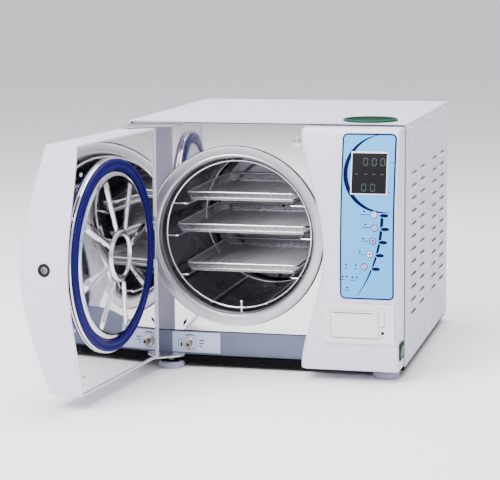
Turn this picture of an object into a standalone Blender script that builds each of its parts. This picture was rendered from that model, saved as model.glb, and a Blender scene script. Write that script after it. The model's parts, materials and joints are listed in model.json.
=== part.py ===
"""Benchtop steam autoclave, front-loading, with its round chamber door swung open.

The cabinet frame has X to the right, Y to the back and Z up from the table. X = 0 is the
middle of the cabinet, Y = 0 the front edge of its sheet cover. The whole model hangs on
one empty, which puts the middle of the front left foot's underside at the world's origin.
Door pieces are drawn shut and turned open by the empty on their hinge axis.
"""

import math

import bmesh
import bpy
from mathutils import Vector

for old in list(bpy.data.objects):
    bpy.data.objects.remove(old, do_unlink=True)

MM = 0.001
GAP = 0.3 * MM

# ---- driving dimensions, cabinet frame, metres ----
WIDTH = 0.445
HEIGHT = 0.397
DEPTH = 0.468
SHEET = 1.5 * MM
COVER_BOTTOM = 0.017
HALF = WIDTH / 2
INNER_HALF = HALF - SHEET

CHAMBER_X, CHAMBER_Z = -0.052, 0.214
VESSEL_R = 0.1245
VESSEL_WALL = 2.5 * MM
VESSEL_BACK = 0.3335
MOUTH_R = 0.1285
FLANGE_R = 0.1436
FLANGE_FACE = 0.004

PLATE_FACE = 0.0085
STRIP_FACE = 0.010
STRIP_LOW, STRIP_HIGH = 0.0190, 0.0573

FRONT_ARC_R = 0.697
FRONT_ARC_Z = 0.201
FRONT_MOST = 0.075
EDGE_SWELL = 0.0385
EDGE_SWELL_Z = 0.205
EDGE_SWELL_SPAN = 0.18

HINGE_X, HINGE_Y = -0.2095, -0.044
HINGE_PIN_R = 4 * MM
DOOR_OPEN = math.radians(96.06)
DOOR_LEFT, DOOR_RIGHT = -0.2205, 0.0630
DOOR_LOW, DOOR_HIGH = 0.0237, 0.3885
DOOR_REAR = -0.003
DOOR_PROUD = 6 * MM
DOOR_WALL = 2.5 * MM
MIRROR_FACE = -0.0055
MIRROR_BACK = -0.0080
DISC_R = 0.1465
GASKET_IN, GASKET_OUT = 0.1278, 0.1438
GASKET_REAR, GASKET_FACE = -0.0012, 0.0035
LOCK_Y, LOCK_Z = -0.040, 0.214

FASCIA_LEFT, FASCIA_RIGHT = 0.0668, 0.2208
FASCIA_LOW, FASCIA_HIGH = 0.0185, 0.3930
FASCIA_REAR = -0.004
FASCIA_WALL = 3 * MM

LEFT_FOOT_X, RIGHT_FOOT_X = -0.158, 0.193
REAR_FOOT_X = 0.185
REAR_FOOT_Y = 0.425
FOOT_R = 0.021

# ---- materials: colour, roughness, metallic ----
FINISHES = {
    "cover_paint": ((0.70, 0.70, 0.80), 0.45, 0.0),
    "white_moulding": ((0.76, 0.74, 0.82), 0.40, 0.0),
    "mirror_steel": ((0.78, 0.76, 0.80), 0.08, 1.0),
    "brushed_steel": ((0.70, 0.68, 0.70), 0.30, 1.0),
    "dark_steel": ((0.10, 0.10, 0.11), 0.50, 0.6),
    "strip_paint": ((0.22, 0.27, 0.40), 0.40, 0.0),
    "overlay_blue": ((0.30, 0.60, 0.85), 0.35, 0.0),
    "silicone_blue": ((0.02, 0.02, 0.20), 0.40, 0.0),
    "black_plastic": ((0.01, 0.01, 0.012), 0.35, 0.0),
    "screen": ((0.005, 0.008, 0.008), 0.10, 0.0),
    "green_plastic": ((0.01, 0.14, 0.06), 0.35, 0.0),
    "label_white": ((0.62, 0.68, 0.80), 0.45, 0.0),
    "brass": ((0.60, 0.50, 0.36), 0.30, 1.0),
    "foot_grey": ((0.42, 0.42, 0.50), 0.50, 0.0),
    "tank_plastic": ((0.75, 0.78, 0.80), 0.40, 0.0),
    "insulation": ((0.55, 0.50, 0.40), 0.95, 0.0),
    "circuit_green": ((0.02, 0.18, 0.08), 0.45, 0.0),
    "paper": ((0.85, 0.85, 0.83), 0.80, 0.0),
    "button_grey": ((0.55, 0.50, 0.70), 0.40, 0.0),
}
materials = {}
for finish, (rgb, rough, metal) in FINISHES.items():
    mat = bpy.data.materials.new(finish)
    mat.use_nodes = True
    shader = mat.node_tree.nodes["Principled BSDF"]
    shader.inputs["Base Color"].default_value = (*rgb, 1.0)
    shader.inputs["Roughness"].default_value = rough
    shader.inputs["Metallic"].default_value = metal
    materials[finish] = mat


def empty(name, place, parent=None, turn=0.0):
    """An empty at a place of its parent, turned about Z."""
    obj = bpy.data.objects.new(name, None)
    obj.location = place
    obj.rotation_euler = (0, 0, turn)
    obj.parent = parent
    bpy.context.scene.collection.objects.link(obj)
    return obj


DATUM = empty("datum", (-LEFT_FOOT_X, 0, 0))
DOOR_AXIS = (HINGE_X, HINGE_Y, CHAMBER_Z)
DOOR = empty("door_axis", DOOR_AXIS, DATUM, -DOOR_OPEN)


# ---- mesh makers: each gives (points, faces) in the cabinet frame ----
def box(low, high):
    """A box between two corners."""
    xs, ys, zs = zip(low, high)
    points = [(x, y, z) for x in xs for y in ys for z in zs]
    faces = [(0, 1, 3, 2), (4, 6, 7, 5), (0, 4, 5, 1), (2, 3, 7, 6), (0, 2, 6, 4), (1, 5, 7, 3)]
    return points, faces


def loft(rings, closed=False):
    """A skin over rings of equal length; the ends are capped unless it closes on itself."""
    count = len(rings[0])
    points = [p for ring in rings for p in ring]
    faces = []
    steps = len(rings) if closed else len(rings) - 1
    for i in range(steps):
        a, b = i * count, (i + 1) % len(rings) * count
        for j in range(count):
            k = (j + 1) % count
            faces.append((a + j, a + k, b + k, b + j))
    if not closed:
        faces.append(tuple(range(count)))
        faces.append(tuple(range(len(points) - count, len(points))))
    return points, faces


def prism(outline, axis, low, high):
    """An outline carried along X, Y or Z; its points are the other two coordinates."""
    def place(u, v, h):
        return {"X": (h, u, v), "Y": (u, h, v), "Z": (u, v, h)}[axis]
    return loft([[place(u, v, h) for u, v in outline] for h in (low, high)])


def turned(profile, centre, axis, segments=48):
    """A profile of (radius, height) turned about an axis through centre.

    A profile that starts and ends at radius 0 gives a solid, any other a ring.
    """
    solid = profile[0][0] == 0
    points, faces, rows = [], [], []

    def place(radius, height, angle):
        u, v = radius * math.cos(angle), radius * math.sin(angle)
        x, y, z = centre
        return {"X": (x + height, y + u, z + v), "Y": (x + u, y + height, z + v),
                "Z": (x + u, y + v, z + height)}[axis]

    for radius, height in profile:
        first = len(points)
        if radius == 0:
            points.append(place(0, height, 0))
            rows.append([first] * segments)
        else:
            points += [place(radius, height, math.tau * i / segments) for i in range(segments)]
            rows.append(list(range(first, first + segments)))
    for i in range(len(rows) - 1 if solid else len(rows)):
        a, b = rows[i], rows[(i + 1) % len(rows)]
        for j in range(segments):
            k = (j + 1) % segments
            corners = dict.fromkeys((a[j], a[k], b[k], b[j]))
            faces.append(tuple(corners))
    return points, faces


def rod(centre, axis, radius, low, high, segments=24):
    """A plain round bar; low and high are heights along its axis from centre."""
    return turned([(0, low), (radius, low), (radius, high), (0, high)], centre, axis, segments)


def wire(path, radius, sides=8, closed=False):
    """A round wire along a path of points."""
    path = [Vector(p) for p in path]
    rings = []
    side = None
    for i, p in enumerate(path):
        ahead = path[(i + 1) % len(path)] if closed or i < len(path) - 1 else p
        behind = path[i - 1] if closed or i > 0 else p
        along = (ahead - behind).normalized()
        if side is None:
            side = along.orthogonal().normalized()
        side = (side - along * side.dot(along)).normalized()
        other = along.cross(side)
        angles = [math.tau * j / sides for j in range(sides)]
        rings.append([tuple(p + radius * (math.cos(a) * side + math.sin(a) * other)) for a in angles])
    return loft(rings, closed)


def joined(*meshes):
    """Several meshes in one list of points and faces."""
    points, faces = [], []
    for more_points, more_faces in meshes:
        start = len(points)
        points += more_points
        faces += [tuple(start + i for i in face) for face in more_faces]
    return points, faces


def node(name, mesh, finish, origin=(0, 0, 0), parent=None):
    """An object from a mesh in the cabinet frame, with its own origin there."""
    parent = parent or DATUM
    base = Vector(DOOR_AXIS) if parent == DOOR else Vector((0, 0, 0))
    points, faces = mesh
    data = bpy.data.meshes.new(name)
    data.from_pydata([tuple(Vector(p) - Vector(origin)) for p in points], [], faces)
    work = bmesh.new()
    work.from_mesh(data)
    bmesh.ops.recalc_face_normals(work, faces=work.faces)
    work.to_mesh(data)
    work.free()
    data.shade_smooth()
    data.set_sharp_from_angle(angle=math.radians(30))
    data.materials.append(materials[finish])
    obj = bpy.data.objects.new(name, data)
    obj.location = Vector(origin) - base
    obj.parent = parent
    bpy.context.scene.collection.objects.link(obj)
    return obj


def shape(target, operation, *tools):
    """Cut the tools from the target, or add them to it, with a Boolean for each."""
    for number, mesh in enumerate(tools):
        tool = node(f"{target.name}_tool_{number}", mesh, "dark_steel", parent=target.parent)
        tool.hide_render = True
        tool.display_type = "WIRE"
        boolean = target.modifiers.new(f"{operation.lower()}_{number}", "BOOLEAN")
        boolean.operation = operation
        boolean.solver = "EXACT"
        boolean.object = tool
    return target


def round_at_chamber(profile, segments=72):
    """A turned shape about the chamber's axis; heights are cabinet Y."""
    return turned(profile, (CHAMBER_X, 0, CHAMBER_Z), "Y", segments)


# ---- the swept front that the door and the control fascia share ----
def front_depth(z):
    """How far the front skin stands forward of Y = 0 at a height: a shallow arc."""
    return FRONT_MOST - (FRONT_ARC_R - math.sqrt(FRONT_ARC_R**2 - (z - FRONT_ARC_Z) ** 2))


def edge_swell(z):
    """How far the seam between door and fascia swings right at a height."""
    reach = min(1.0, abs(z - EDGE_SWELL_Z) / EDGE_SWELL_SPAN)
    return EDGE_SWELL * math.cos(math.pi / 2 * reach) ** 1.5


def levels(low, high, count):
    """Evenly spaced heights."""
    return [low + (high - low) * i / (count - 1) for i in range(count)]


def front_ring(z, left, right, rear, inset, radius, proud):
    """One level of a front shell: a flat back and a front with two rounded corners."""
    left, right = left + inset, right - inset
    front = -front_depth(z) - proud + inset
    ring = [(right, rear, z)]
    for middle, start in ((right - radius, 0.0), (left + radius, -90.0)):
        for step in range(4):
            angle = math.radians(start - 30.0 * step)
            ring.append((middle + radius * math.cos(angle), front + radius + radius * math.sin(angle), z))
    ring.append((left, rear, z))
    return ring


def front_shell(name, left, right, low, high, rear, wall, radius, finish, parent=None, proud=0.0):
    """A hollow front moulding, open at its back, proud of the shared arc; left and right follow height."""
    heights = levels(low, high, 17)
    outer = loft([front_ring(z, left(z), right(z), rear, 0, radius, proud) for z in heights])
    inner_heights = levels(low + wall, high - wall, 17)
    behind = rear + 0.02
    inner = loft([front_ring(z, left(z), right(z), behind, wall, radius - wall, proud) for z in inner_heights])
    return shape(node(name, outer, finish, parent=parent), "DIFFERENCE", inner)


def front_sheet(left, right, low, high, under, over, count=9):
    """A thin sheet on the fascia's curved face; under and over are its faces' heights above it."""
    rings = []
    for z in levels(low, high, count):
        near, far = -front_depth(z) - over, -front_depth(z) - under
        rings.append([(left, near, z), (right, near, z), (right, far, z), (left, far, z)])
    return loft(rings)


# ---- cabinet: pan, cover, back and front plates ----
PAN_SIDE, PAN_FRONT, PAN_REAR = INNER_HALF - 1 * MM, 0.002, 0.461
PAN_LOW, PAN_TOP = 0.0105, 0.0185
STEM_R = 4.2 * MM
pan = node("base_pan", box((-PAN_SIDE, PAN_FRONT, PAN_LOW), (PAN_SIDE, PAN_REAR, PAN_TOP)), "dark_steel")
shape(pan, "UNION",
      box((-0.134, PAN_FRONT, 0.007), (0.169, PAN_FRONT + SHEET, PAN_TOP - 1 * MM)),
      *[box((x - 0.014, -0.012, PAN_LOW), (x + 0.014, 0.010, PAN_LOW + SHEET))
        for x in (LEFT_FOOT_X, RIGHT_FOOT_X)])
shape(pan, "DIFFERENCE",
      box((-PAN_SIDE + SHEET, PAN_FRONT + SHEET, PAN_LOW + SHEET),
          (PAN_SIDE - SHEET, PAN_REAR - SHEET, 0.03)),
      joined(*[rod((x, 0, 0), "Z", STEM_R + GAP, 0, 0.03, 20) for x in (LEFT_FOOT_X, RIGHT_FOOT_X)]))

LOUVRE_LENGTH, LOUVRE_SLOT, LOUVRE_PITCH = 0.056, 4 * MM, 0.0203
LOUVRE_STARTS = (0.050, 0.140, 0.272, 0.364)
LOUVRE_TOP, LOUVRE_ROWS = 0.313, 12
cover_outline = [(-HALF, COVER_BOTTOM), (-HALF, HEIGHT), (HALF, HEIGHT), (HALF, COVER_BOTTOM),
                 (INNER_HALF, COVER_BOTTOM), (INNER_HALF, HEIGHT - SHEET),
                 (-INNER_HALF, HEIGHT - SHEET), (-INNER_HALF, COVER_BOTTOM)]
FILLER_X, FILLER_Y, FILLER_R = 0.157, 0.054, 0.043
louvre_slots = []
for side in (-1, 1):
    for start in LOUVRE_STARTS:
        for row in range(LOUVRE_ROWS):
            z = LOUVRE_TOP - LOUVRE_PITCH * row
            low_x, high_x = sorted((side * (INNER_HALF - 1 * MM), side * (HALF + 1 * MM)))
            louvre_slots.append(box((low_x, start, z - LOUVRE_SLOT / 2),
                                    (high_x, start + LOUVRE_LENGTH, z + LOUVRE_SLOT / 2)))
shape(node("outer_cover", prism(cover_outline, "Y", 0, DEPTH), "cover_paint"), "DIFFERENCE",
      joined(*louvre_slots, rod((FILLER_X, FILLER_Y, 0), "Z", 0.0385, HEIGHT - 0.01, HEIGHT + 0.01, 32)))

INLET_X, INLET_Z = 0.150, 0.062
FAN_X, FAN_Z = 0.155, 0.325
REAR_FACE = 0.4637
shape(node("rear_panel", box((-0.2205, REAR_FACE - SHEET, 0.019), (0.2205, REAR_FACE, 0.395)), "cover_paint"),
      "DIFFERENCE",
      joined(box((INLET_X - 0.0253, 0.45, INLET_Z - 0.0153), (INLET_X + 0.0253, 0.48, INLET_Z + 0.0153)),
             rod((FAN_X, 0, FAN_Z), "Y", 0.040, 0.45, 0.48, 32)))

SWITCH_X, SWITCH_Z = 0.049, 0.366
shape(node("front_plate", box((-0.2205, PLATE_FACE, 0.0593), (0.2205, PLATE_FACE + SHEET, 0.3935)),
           "mirror_steel"),
      "DIFFERENCE",
      joined(rod((CHAMBER_X, 0, CHAMBER_Z), "Y", FLANGE_R + 1.4 * MM, 0, 0.02, 72),
             rod((SWITCH_X, 0, SWITCH_Z), "Y", 5.3 * MM, 0, 0.02, 20),
             prism([(-0.1405, 0.0655), (-0.1345, 0.0715), (-0.1335, 0.0785), (-0.1395, 0.0725)],
                   "Y", 0, 0.02)))

shape(node("lower_trim_strip",
           box((-0.2190, STRIP_FACE, STRIP_LOW), (0.2190, STRIP_FACE + 2 * MM, STRIP_HIGH)), "strip_paint"),
      "DIFFERENCE", rod((-0.129, 0, 0.0375), "Y", 8.4 * MM, 0, 0.03, 24))
shape(node("valve_label_plate",
           box((-0.1585, STRIP_FACE - 1.3 * MM, 0.0225), (-0.0787, STRIP_FACE - GAP, 0.0555)), "label_white"),
      "DIFFERENCE", rod((-0.129, 0, 0.0375), "Y", 8.4 * MM, 0, 0.03, 24))

# ---- chamber, its heater, lagging and saddles ----
node("chamber_flange",
     round_at_chamber([(MOUTH_R, FLANGE_FACE), (FLANGE_R - 0.8 * MM, FLANGE_FACE),
                       (FLANGE_R, FLANGE_FACE + 0.8 * MM), (FLANGE_R, 0.024), (VESSEL_R, 0.024),
                       (VESSEL_R, 0.0115)]), "brushed_steel")
outside = VESSEL_R + VESSEL_WALL
node("chamber_vessel",
     round_at_chamber([(0, VESSEL_BACK + VESSEL_WALL), (0.108, VESSEL_BACK + VESSEL_WALL), (outside, 0.324),
                       (outside, 0.0243), (VESSEL_R, 0.0243), (VESSEL_R, 0.322), (0.107, VESSEL_BACK),
                       (0, VESSEL_BACK)]), "brushed_steel")
LAGGING_R = 0.148
node("vessel_lagging",
     round_at_chamber([(outside + GAP, 0.045), (LAGGING_R, 0.045), (LAGGING_R, 0.320),
                       (outside + GAP, 0.320)], 48), "insulation")
saddle_x = (CHAMBER_X - 0.085, CHAMBER_X + 0.085)
shape(node("vessel_saddle", box((saddle_x[0], 0.080, 0.0123), (saddle_x[1], 0.290, 0.110)), "dark_steel"),
      "DIFFERENCE",
      round_at_chamber([(0, 0.05), (LAGGING_R + GAP, 0.05), (LAGGING_R + GAP, 0.35), (0, 0.35)], 48),
      box((CHAMBER_X - 0.2, 0.086, 0.0153), (CHAMBER_X + 0.2, 0.284, 0.2)))
node("temperature_probe",
     turned([(0, 0.0902), (1.6 * MM, 0.0902), (1.6 * MM, 0.1042), (2.6 * MM, 0.1052), (3.0 * MM, 0.1070),
             (2.6 * MM, 0.1088), (1.5 * MM, 0.1097), (0, 0.1100)], (-0.045, 0.018, 0), "Z", 12),
     "brushed_steel")

# ---- wire rack and its trays ----
HOOP_R, WIRE_R = 0.119, 2 * MM
HOOP_FRONT, HOOP_REAR = 0.030, 0.268
RUNNERS = ((0.083, 0.2620), (0.100, 0.2095), (0.084, 0.1462))
TRAY_FRONT, TRAY_REAR = 0.045, 0.315
TRAY_DEEP, TRAY_LEAN, TRAY_SHEET = 16.5 * MM, 8 * MM, 1.0 * MM


def hoop(y):
    """One round hoop of the rack."""
    angles = [math.tau * i / 8 for i in range(8)]
    profile = [(HOOP_R + WIRE_R * math.cos(a), y + WIRE_R * math.sin(a)) for a in angles]
    return turned(profile, (CHAMBER_X, 0, CHAMBER_Z), "Y", 44)


rack_wires = [hoop(HOOP_REAR)]
for offset, z in RUNNERS:
    reach = math.sqrt(HOOP_R**2 - (z - CHAMBER_Z) ** 2) + 0.4 * MM
    for side in (-1, 1):
        x = CHAMBER_X + side * offset
        edge = CHAMBER_X + side * reach
        bends = [(edge, HOOP_FRONT, z), (x, HOOP_FRONT, z), (x, HOOP_REAR, z), (edge, HOOP_REAR, z)]
        rack_wires.append(wire(bends, 1.5 * MM, 7))
skid_x = 0.045
for side in (-1, 1):
    z = CHAMBER_Z - math.sqrt(HOOP_R**2 - skid_x**2)
    x = CHAMBER_X + side * skid_x
    rack_wires.append(wire([(x, HOOP_FRONT - 3 * MM, z), (x, HOOP_REAR + 3 * MM, z)], 1.5 * MM, 7))
shape(node("wire_rack", hoop(HOOP_FRONT), "brushed_steel"), "UNION", *rack_wires)


def tray(name, half, floor):
    """A shallow pan with sloping walls; half is its half width at the rim."""
    def ring(side_gap, end_gap, z):
        left, right = CHAMBER_X - half + side_gap, CHAMBER_X + half - side_gap
        front, back = TRAY_FRONT + end_gap, TRAY_REAR - end_gap
        return [(left, front, z), (right, front, z), (right, back, z), (left, back, z)]

    rim = floor + TRAY_DEEP
    pan = loft([ring(TRAY_LEAN, TRAY_LEAN, floor), ring(0, 0, rim)])
    lean = TRAY_LEAN + TRAY_SHEET
    hollow = loft([ring(lean, lean, floor + TRAY_SHEET), ring(TRAY_SHEET, TRAY_SHEET, rim + 0.5 * MM)])
    return shape(node(name, pan, "brushed_steel"), "DIFFERENCE", hollow)


for name, (offset, z) in zip(("tray_upper", "tray_middle", "tray_lower"), RUNNERS, strict=True):
    tray(name, offset + 11 * MM, z + 1.5 * MM + GAP)

# ---- drain valve ----
DRAIN_X, DRAIN_Z = -0.129, 0.0375
node("drain_valve_body",
     turned([(4.2 * MM, 0.0037), (9 * MM, 0.0037), (10 * MM, 0.0047), (10 * MM, 0.0084), (8 * MM, 0.0084),
             (8 * MM, 0.045), (4.2 * MM, 0.045)], (DRAIN_X, 0, DRAIN_Z), "Y", 24), "brushed_steel")
node("drain_valve_nozzle",
     turned([(0, 0.040), (3.9 * MM, 0.040), (3.9 * MM, 0.0034), (5 * MM, 0.0034), (5 * MM, -0.0045),
             (4.4 * MM, -0.0050), (2.2 * MM, -0.0050), (2.2 * MM, 0.008), (0, 0.009)],
            (DRAIN_X, 0, DRAIN_Z), "Y", 24), "brass", origin=(DRAIN_X, 0, DRAIN_Z))

# ---- door hinge plates with their pins, on the cabinet ----
hinge_outline = [(-0.2190, 0.0080), (-0.2190, -0.049), (-0.2135, -0.0545), (-0.2000, -0.0545),
                 (-0.1400, -0.014), (-0.1350, -0.006), (-0.1350, 0.0080)]
shape(node("hinge_plate_upper", prism(hinge_outline, "Z", 0.3900, 0.3925), "brushed_steel"), "UNION",
      rod((HINGE_X, HINGE_Y, 0), "Z", HINGE_PIN_R, 0.376, 0.3945))
shape(node("hinge_plate_lower", prism(hinge_outline, "Z", 0.0190, 0.0217), "brushed_steel"), "UNION",
      rod((HINGE_X, HINGE_Y, 0), "Z", HINGE_PIN_R, 0.0165, 0.036))


# ---- door ----
def door_right(z):
    return DOOR_RIGHT + edge_swell(z)


def door_left(z):
    return DOOR_LEFT


PIN_BORE = HINGE_PIN_R + GAP
shell = front_shell("door_shell", door_left, door_right, DOOR_LOW, DOOR_HIGH, DOOR_REAR, DOOR_WALL,
                    9 * MM, "white_moulding", DOOR, DOOR_PROUD)
NOTCH_HALF = 0.035
shape(shell, "DIFFERENCE",
      joined(rod((HINGE_X, HINGE_Y, 0), "Z", PIN_BORE, DOOR_LOW - 0.01, DOOR_LOW + 0.01, 20),
             rod((HINGE_X, HINGE_Y, 0), "Z", PIN_BORE, DOOR_HIGH - 0.01, DOOR_HIGH + 0.01, 20),
             rod((0, LOCK_Y, LOCK_Z), "X", 9.8 * MM, 0.09, 0.12, 24),
             box((DOOR_LEFT - 0.01, MIRROR_FACE, CHAMBER_Z - NOTCH_HALF),
                 (DOOR_LEFT + DOOR_WALL + GAP, 0.01, CHAMBER_Z + NOTCH_HALF))))

inside = DOOR_WALL + GAP
mirror_heights = levels(DOOR_LOW + inside, DOOR_HIGH - inside, 17)
mirror_outline = [(door_right(z) - inside, z) for z in mirror_heights]
mirror_outline += [(DOOR_LEFT + inside, mirror_heights[-1]), (DOOR_LEFT + inside, mirror_heights[0])]
shape(node("door_mirror_plate", prism(mirror_outline, "Y", MIRROR_BACK, MIRROR_FACE), "mirror_steel",
           parent=DOOR), "DIFFERENCE", rod((CHAMBER_X, 0, CHAMBER_Z), "Y", 9 * MM, -0.02, 0.01, 24))

disc_axis = (CHAMBER_X, 0, CHAMBER_Z)
node("pressure_disc",
     round_at_chamber([(0, -0.0053), (DISC_R - 1 * MM, -0.0053), (DISC_R, -0.0045), (DISC_R, -0.0025),
                       (DISC_R - 1 * MM, -0.0015), (0.1270, -0.0015), (0.1262, 0.0010), (0.1200, 0.0035),
                       (0.0800, 0.0090), (0.0360, 0.0135), (0.0300, 0.0130), (0.0240, 0.0115), (0, 0.0115)]),
     "mirror_steel", origin=disc_axis, parent=DOOR)
node("door_gasket",
     round_at_chamber([(GASKET_IN, GASKET_REAR), (GASKET_IN, GASKET_FACE - 1.2 * MM),
                       (GASKET_IN + 2 * MM, GASKET_FACE), (GASKET_OUT - 2 * MM, GASKET_FACE),
                       (GASKET_OUT, GASKET_FACE - 1.2 * MM), (GASKET_OUT, GASKET_REAR)]),
     "silicone_blue", origin=disc_axis, parent=DOOR)
node("disc_spindle", rod(disc_axis, "Y", 8 * MM, -0.046, -0.0056), "brushed_steel", origin=disc_axis,
     parent=DOOR)
seam_at_lock = door_right(LOCK_Z)
node("lock_socket",
     turned([(5.2 * MM, seam_at_lock - 0.012), (9.4 * MM, seam_at_lock - 0.012),
             (9.4 * MM, seam_at_lock + 0.2 * MM), (8.6 * MM, seam_at_lock + 1 * MM), (5.2 * MM, seam_at_lock + 1 * MM)],
            (0, LOCK_Y, LOCK_Z), "X", 24), "black_plastic", parent=DOOR)


# ---- control fascia ----
def fascia_left(z):
    return FASCIA_LEFT + edge_swell(z)


def fascia_right(z):
    return FASCIA_RIGHT


fascia = front_shell("control_fascia", fascia_left, fascia_right, FASCIA_LOW, FASCIA_HIGH, FASCIA_REAR,
                     FASCIA_WALL, 5 * MM, "white_moulding")
BUTTONS = ((0.1856, 0.2665), (0.1865, 0.2466), (0.1842, 0.2267), (0.1797, 0.2066), (0.1713, 0.1871))
BUTTON_R = 5.2 * MM
PRINTER_LEFT, PRINTER_RIGHT, PRINTER_LOW, PRINTER_HIGH = 0.1035, 0.2170, 0.0660, 0.1290
BAY_LEFT, BAY_RIGHT, BAY_LOW, BAY_HIGH = 0.1180, 0.1925, 0.0735, 0.1180
LEVER_LEFT, LEVER_RIGHT, LEVER_LOW, LEVER_HIGH = 0.1945, 0.2020, 0.0930, 0.1235
FEED_X, FEED_Z, FEED_R = 0.1985, 0.0835, 2.2 * MM
ROCKER_Y, ROCKER_Z = -0.033, 0.050

button_holes = [rod((x, 0, z), "Y", BUTTON_R + GAP, -0.09, -0.055, 20) for x, z in BUTTONS]
shape(fascia, "DIFFERENCE",
      joined(*button_holes,
             box((BAY_LEFT, -0.09, BAY_LOW), (BAY_RIGHT, -0.04, BAY_HIGH)),
             box((LEVER_LEFT, -0.09, LEVER_LOW), (LEVER_RIGHT, -0.04, LEVER_HIGH)),
             rod((FEED_X, 0, FEED_Z), "Y", FEED_R + GAP, -0.09, -0.04, 12),
             rod((0, LOCK_Y, LOCK_Z), "X", 4.6 * MM, 0.09, 0.12, 20),
             box((0.21, ROCKER_Y - 0.013, ROCKER_Z - 0.0112), (0.23, ROCKER_Y + 0.013, ROCKER_Z + 0.0112))))
shape(node("membrane_overlay", front_sheet(0.1335, 0.2165, 0.137, 0.387, GAP, 1.1 * MM, 13), "overlay_blue"),
      "DIFFERENCE", joined(*[rod((x, 0, z), "Y", BUTTON_R + GAP, -0.09, -0.055, 20) for x, z in BUTTONS]))
node("display_window", front_sheet(0.1495, 0.2035, 0.2975, 0.3575, 1.4 * MM, 2.4 * MM, 5), "screen")
for number, (x, z) in enumerate(BUTTONS, 1):
    face = -front_depth(z)
    node(f"key_{number}", turned([(0, face + 0.006), (BUTTON_R, face + 0.006), (BUTTON_R, face - 1.8 * MM),
                                  (BUTTON_R - 1 * MM, face - 2.4 * MM), (0, face - 2.6 * MM)],
                                 (x, 0, z), "Y", 20), "button_grey", origin=(x, face, z))

# ---- strip printer in the fascia ----
shape(node("printer_surround",
           front_sheet(PRINTER_LEFT, PRINTER_RIGHT, PRINTER_LOW, PRINTER_HIGH, GAP, 4 * MM, 5), "white_moulding"),
      "DIFFERENCE",
      joined(box((BAY_LEFT, -0.09, BAY_LOW), (BAY_RIGHT, -0.04, BAY_HIGH)),
             box((LEVER_LEFT, -0.09, LEVER_LOW), (LEVER_RIGHT, -0.04, LEVER_HIGH)),
             rod((FEED_X, 0, FEED_Z), "Y", FEED_R + GAP, -0.09, -0.04, 12)))
SWING_ROOM = 1.2 * MM
flap_low, flap_high = BAY_LOW + SWING_ROOM, BAY_HIGH - 0.5 * MM
flap_hinge = (0, -front_depth(flap_low) - 3.2 * MM, flap_low + 1.2 * MM)
node("printer_flap",
     front_sheet(BAY_LEFT + 0.5 * MM, BAY_RIGHT - 0.5 * MM, flap_low, flap_high, 2 * MM, 4.4 * MM, 5),
     "white_moulding", origin=flap_hinge)
lever_low, lever_high = LEVER_LOW + SWING_ROOM, LEVER_HIGH - 0.5 * MM
lever_hinge = (0, -front_depth(lever_low) - 3.2 * MM, lever_low + 1.2 * MM)
node("flap_release_lever",
     front_sheet(LEVER_LEFT + 0.5 * MM, LEVER_RIGHT - 0.5 * MM, lever_low, lever_high, 1.5 * MM, 5.0 * MM, 4),
     "white_moulding", origin=lever_hinge)
feed_face = -front_depth(FEED_Z)
node("paper_feed_key", rod((FEED_X, 0, FEED_Z), "Y", FEED_R, feed_face - 4.8 * MM, feed_face + 6 * MM, 12),
     "black_plastic", origin=(FEED_X, feed_face, FEED_Z))
ROLL_AXIS = (0, -0.038, 0.092)
PLATEN_AXIS = (0, -0.0590, 0.1125)
ROLL_R, CORE_R, PLATEN_R = 0.019, 0.006, 0.0045
node("paper_roll",
     turned([(CORE_R, 0.128), (ROLL_R, 0.128), (ROLL_R, 0.183), (CORE_R, 0.183)], ROLL_AXIS, "X", 32),
     "paper", origin=ROLL_AXIS)
node("printer_platen", rod(PLATEN_AXIS, "X", PLATEN_R, 0.126, 0.185, 16), "black_plastic", origin=PLATEN_AXIS)

# ---- power rocker on the fascia's right side ----
shape(node("switch_bezel",
           box((FASCIA_RIGHT + GAP, ROCKER_Y - 0.016, ROCKER_Z - 0.0135),
               (FASCIA_RIGHT + 2.3 * MM, ROCKER_Y + 0.016, ROCKER_Z + 0.0135)), "black_plastic"),
      "DIFFERENCE",
      box((0.21, ROCKER_Y - 0.012, ROCKER_Z - 0.0115), (0.23, ROCKER_Y + 0.012, ROCKER_Z + 0.0115)))
ROCKER_AXIS = (0.2165, ROCKER_Y, ROCKER_Z)
rocker_outline = [(0.2130, ROCKER_Z - 0.006), (0.2225, ROCKER_Z - 0.0095), (0.2222, ROCKER_Z),
                  (0.2245, ROCKER_Z + 0.0092), (0.2130, ROCKER_Z + 0.006)]
node("power_rocker", prism(rocker_outline, "Y", ROCKER_Y - 0.0112, ROCKER_Y + 0.0112), "green_plastic",
     origin=ROCKER_AXIS)

# ---- door lock and door switch ----
bolt_start = fascia_left(LOCK_Z) + 0.5 * MM
LOCK_AXIS = (0, LOCK_Y, LOCK_Z)
node("lock_bolt", turned([(0, bolt_start), (2.8 * MM, bolt_start), (3.8 * MM, bolt_start + 1 * MM),
                          (3.8 * MM, bolt_start + 0.034), (0, bolt_start + 0.034)], LOCK_AXIS, "X", 20),
     "brushed_steel", origin=(bolt_start, LOCK_Y, LOCK_Z))
shape(node("lock_actuator", box((0.125, -0.052, 0.201), (0.163, -0.028, 0.227)), "dark_steel"), "DIFFERENCE",
      rod(LOCK_AXIS, "X", 4.2 * MM, 0.10, 0.150))
node("door_switch",
     turned([(0, 0.0060), (2 * MM, 0.0060), (2 * MM, 0.0072), (5 * MM, 0.0078), (5 * MM, 0.022), (0, 0.022)],
            (SWITCH_X, 0, SWITCH_Z), "Y", 20), "brushed_steel")

# ---- water tanks and filler cap ----
TANK_LEFT, TANK_RIGHT, TANK_FRONT, TANK_REAR = 0.106, 0.215, 0.0125, 0.150
TANK_WALL = 2.5 * MM


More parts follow.
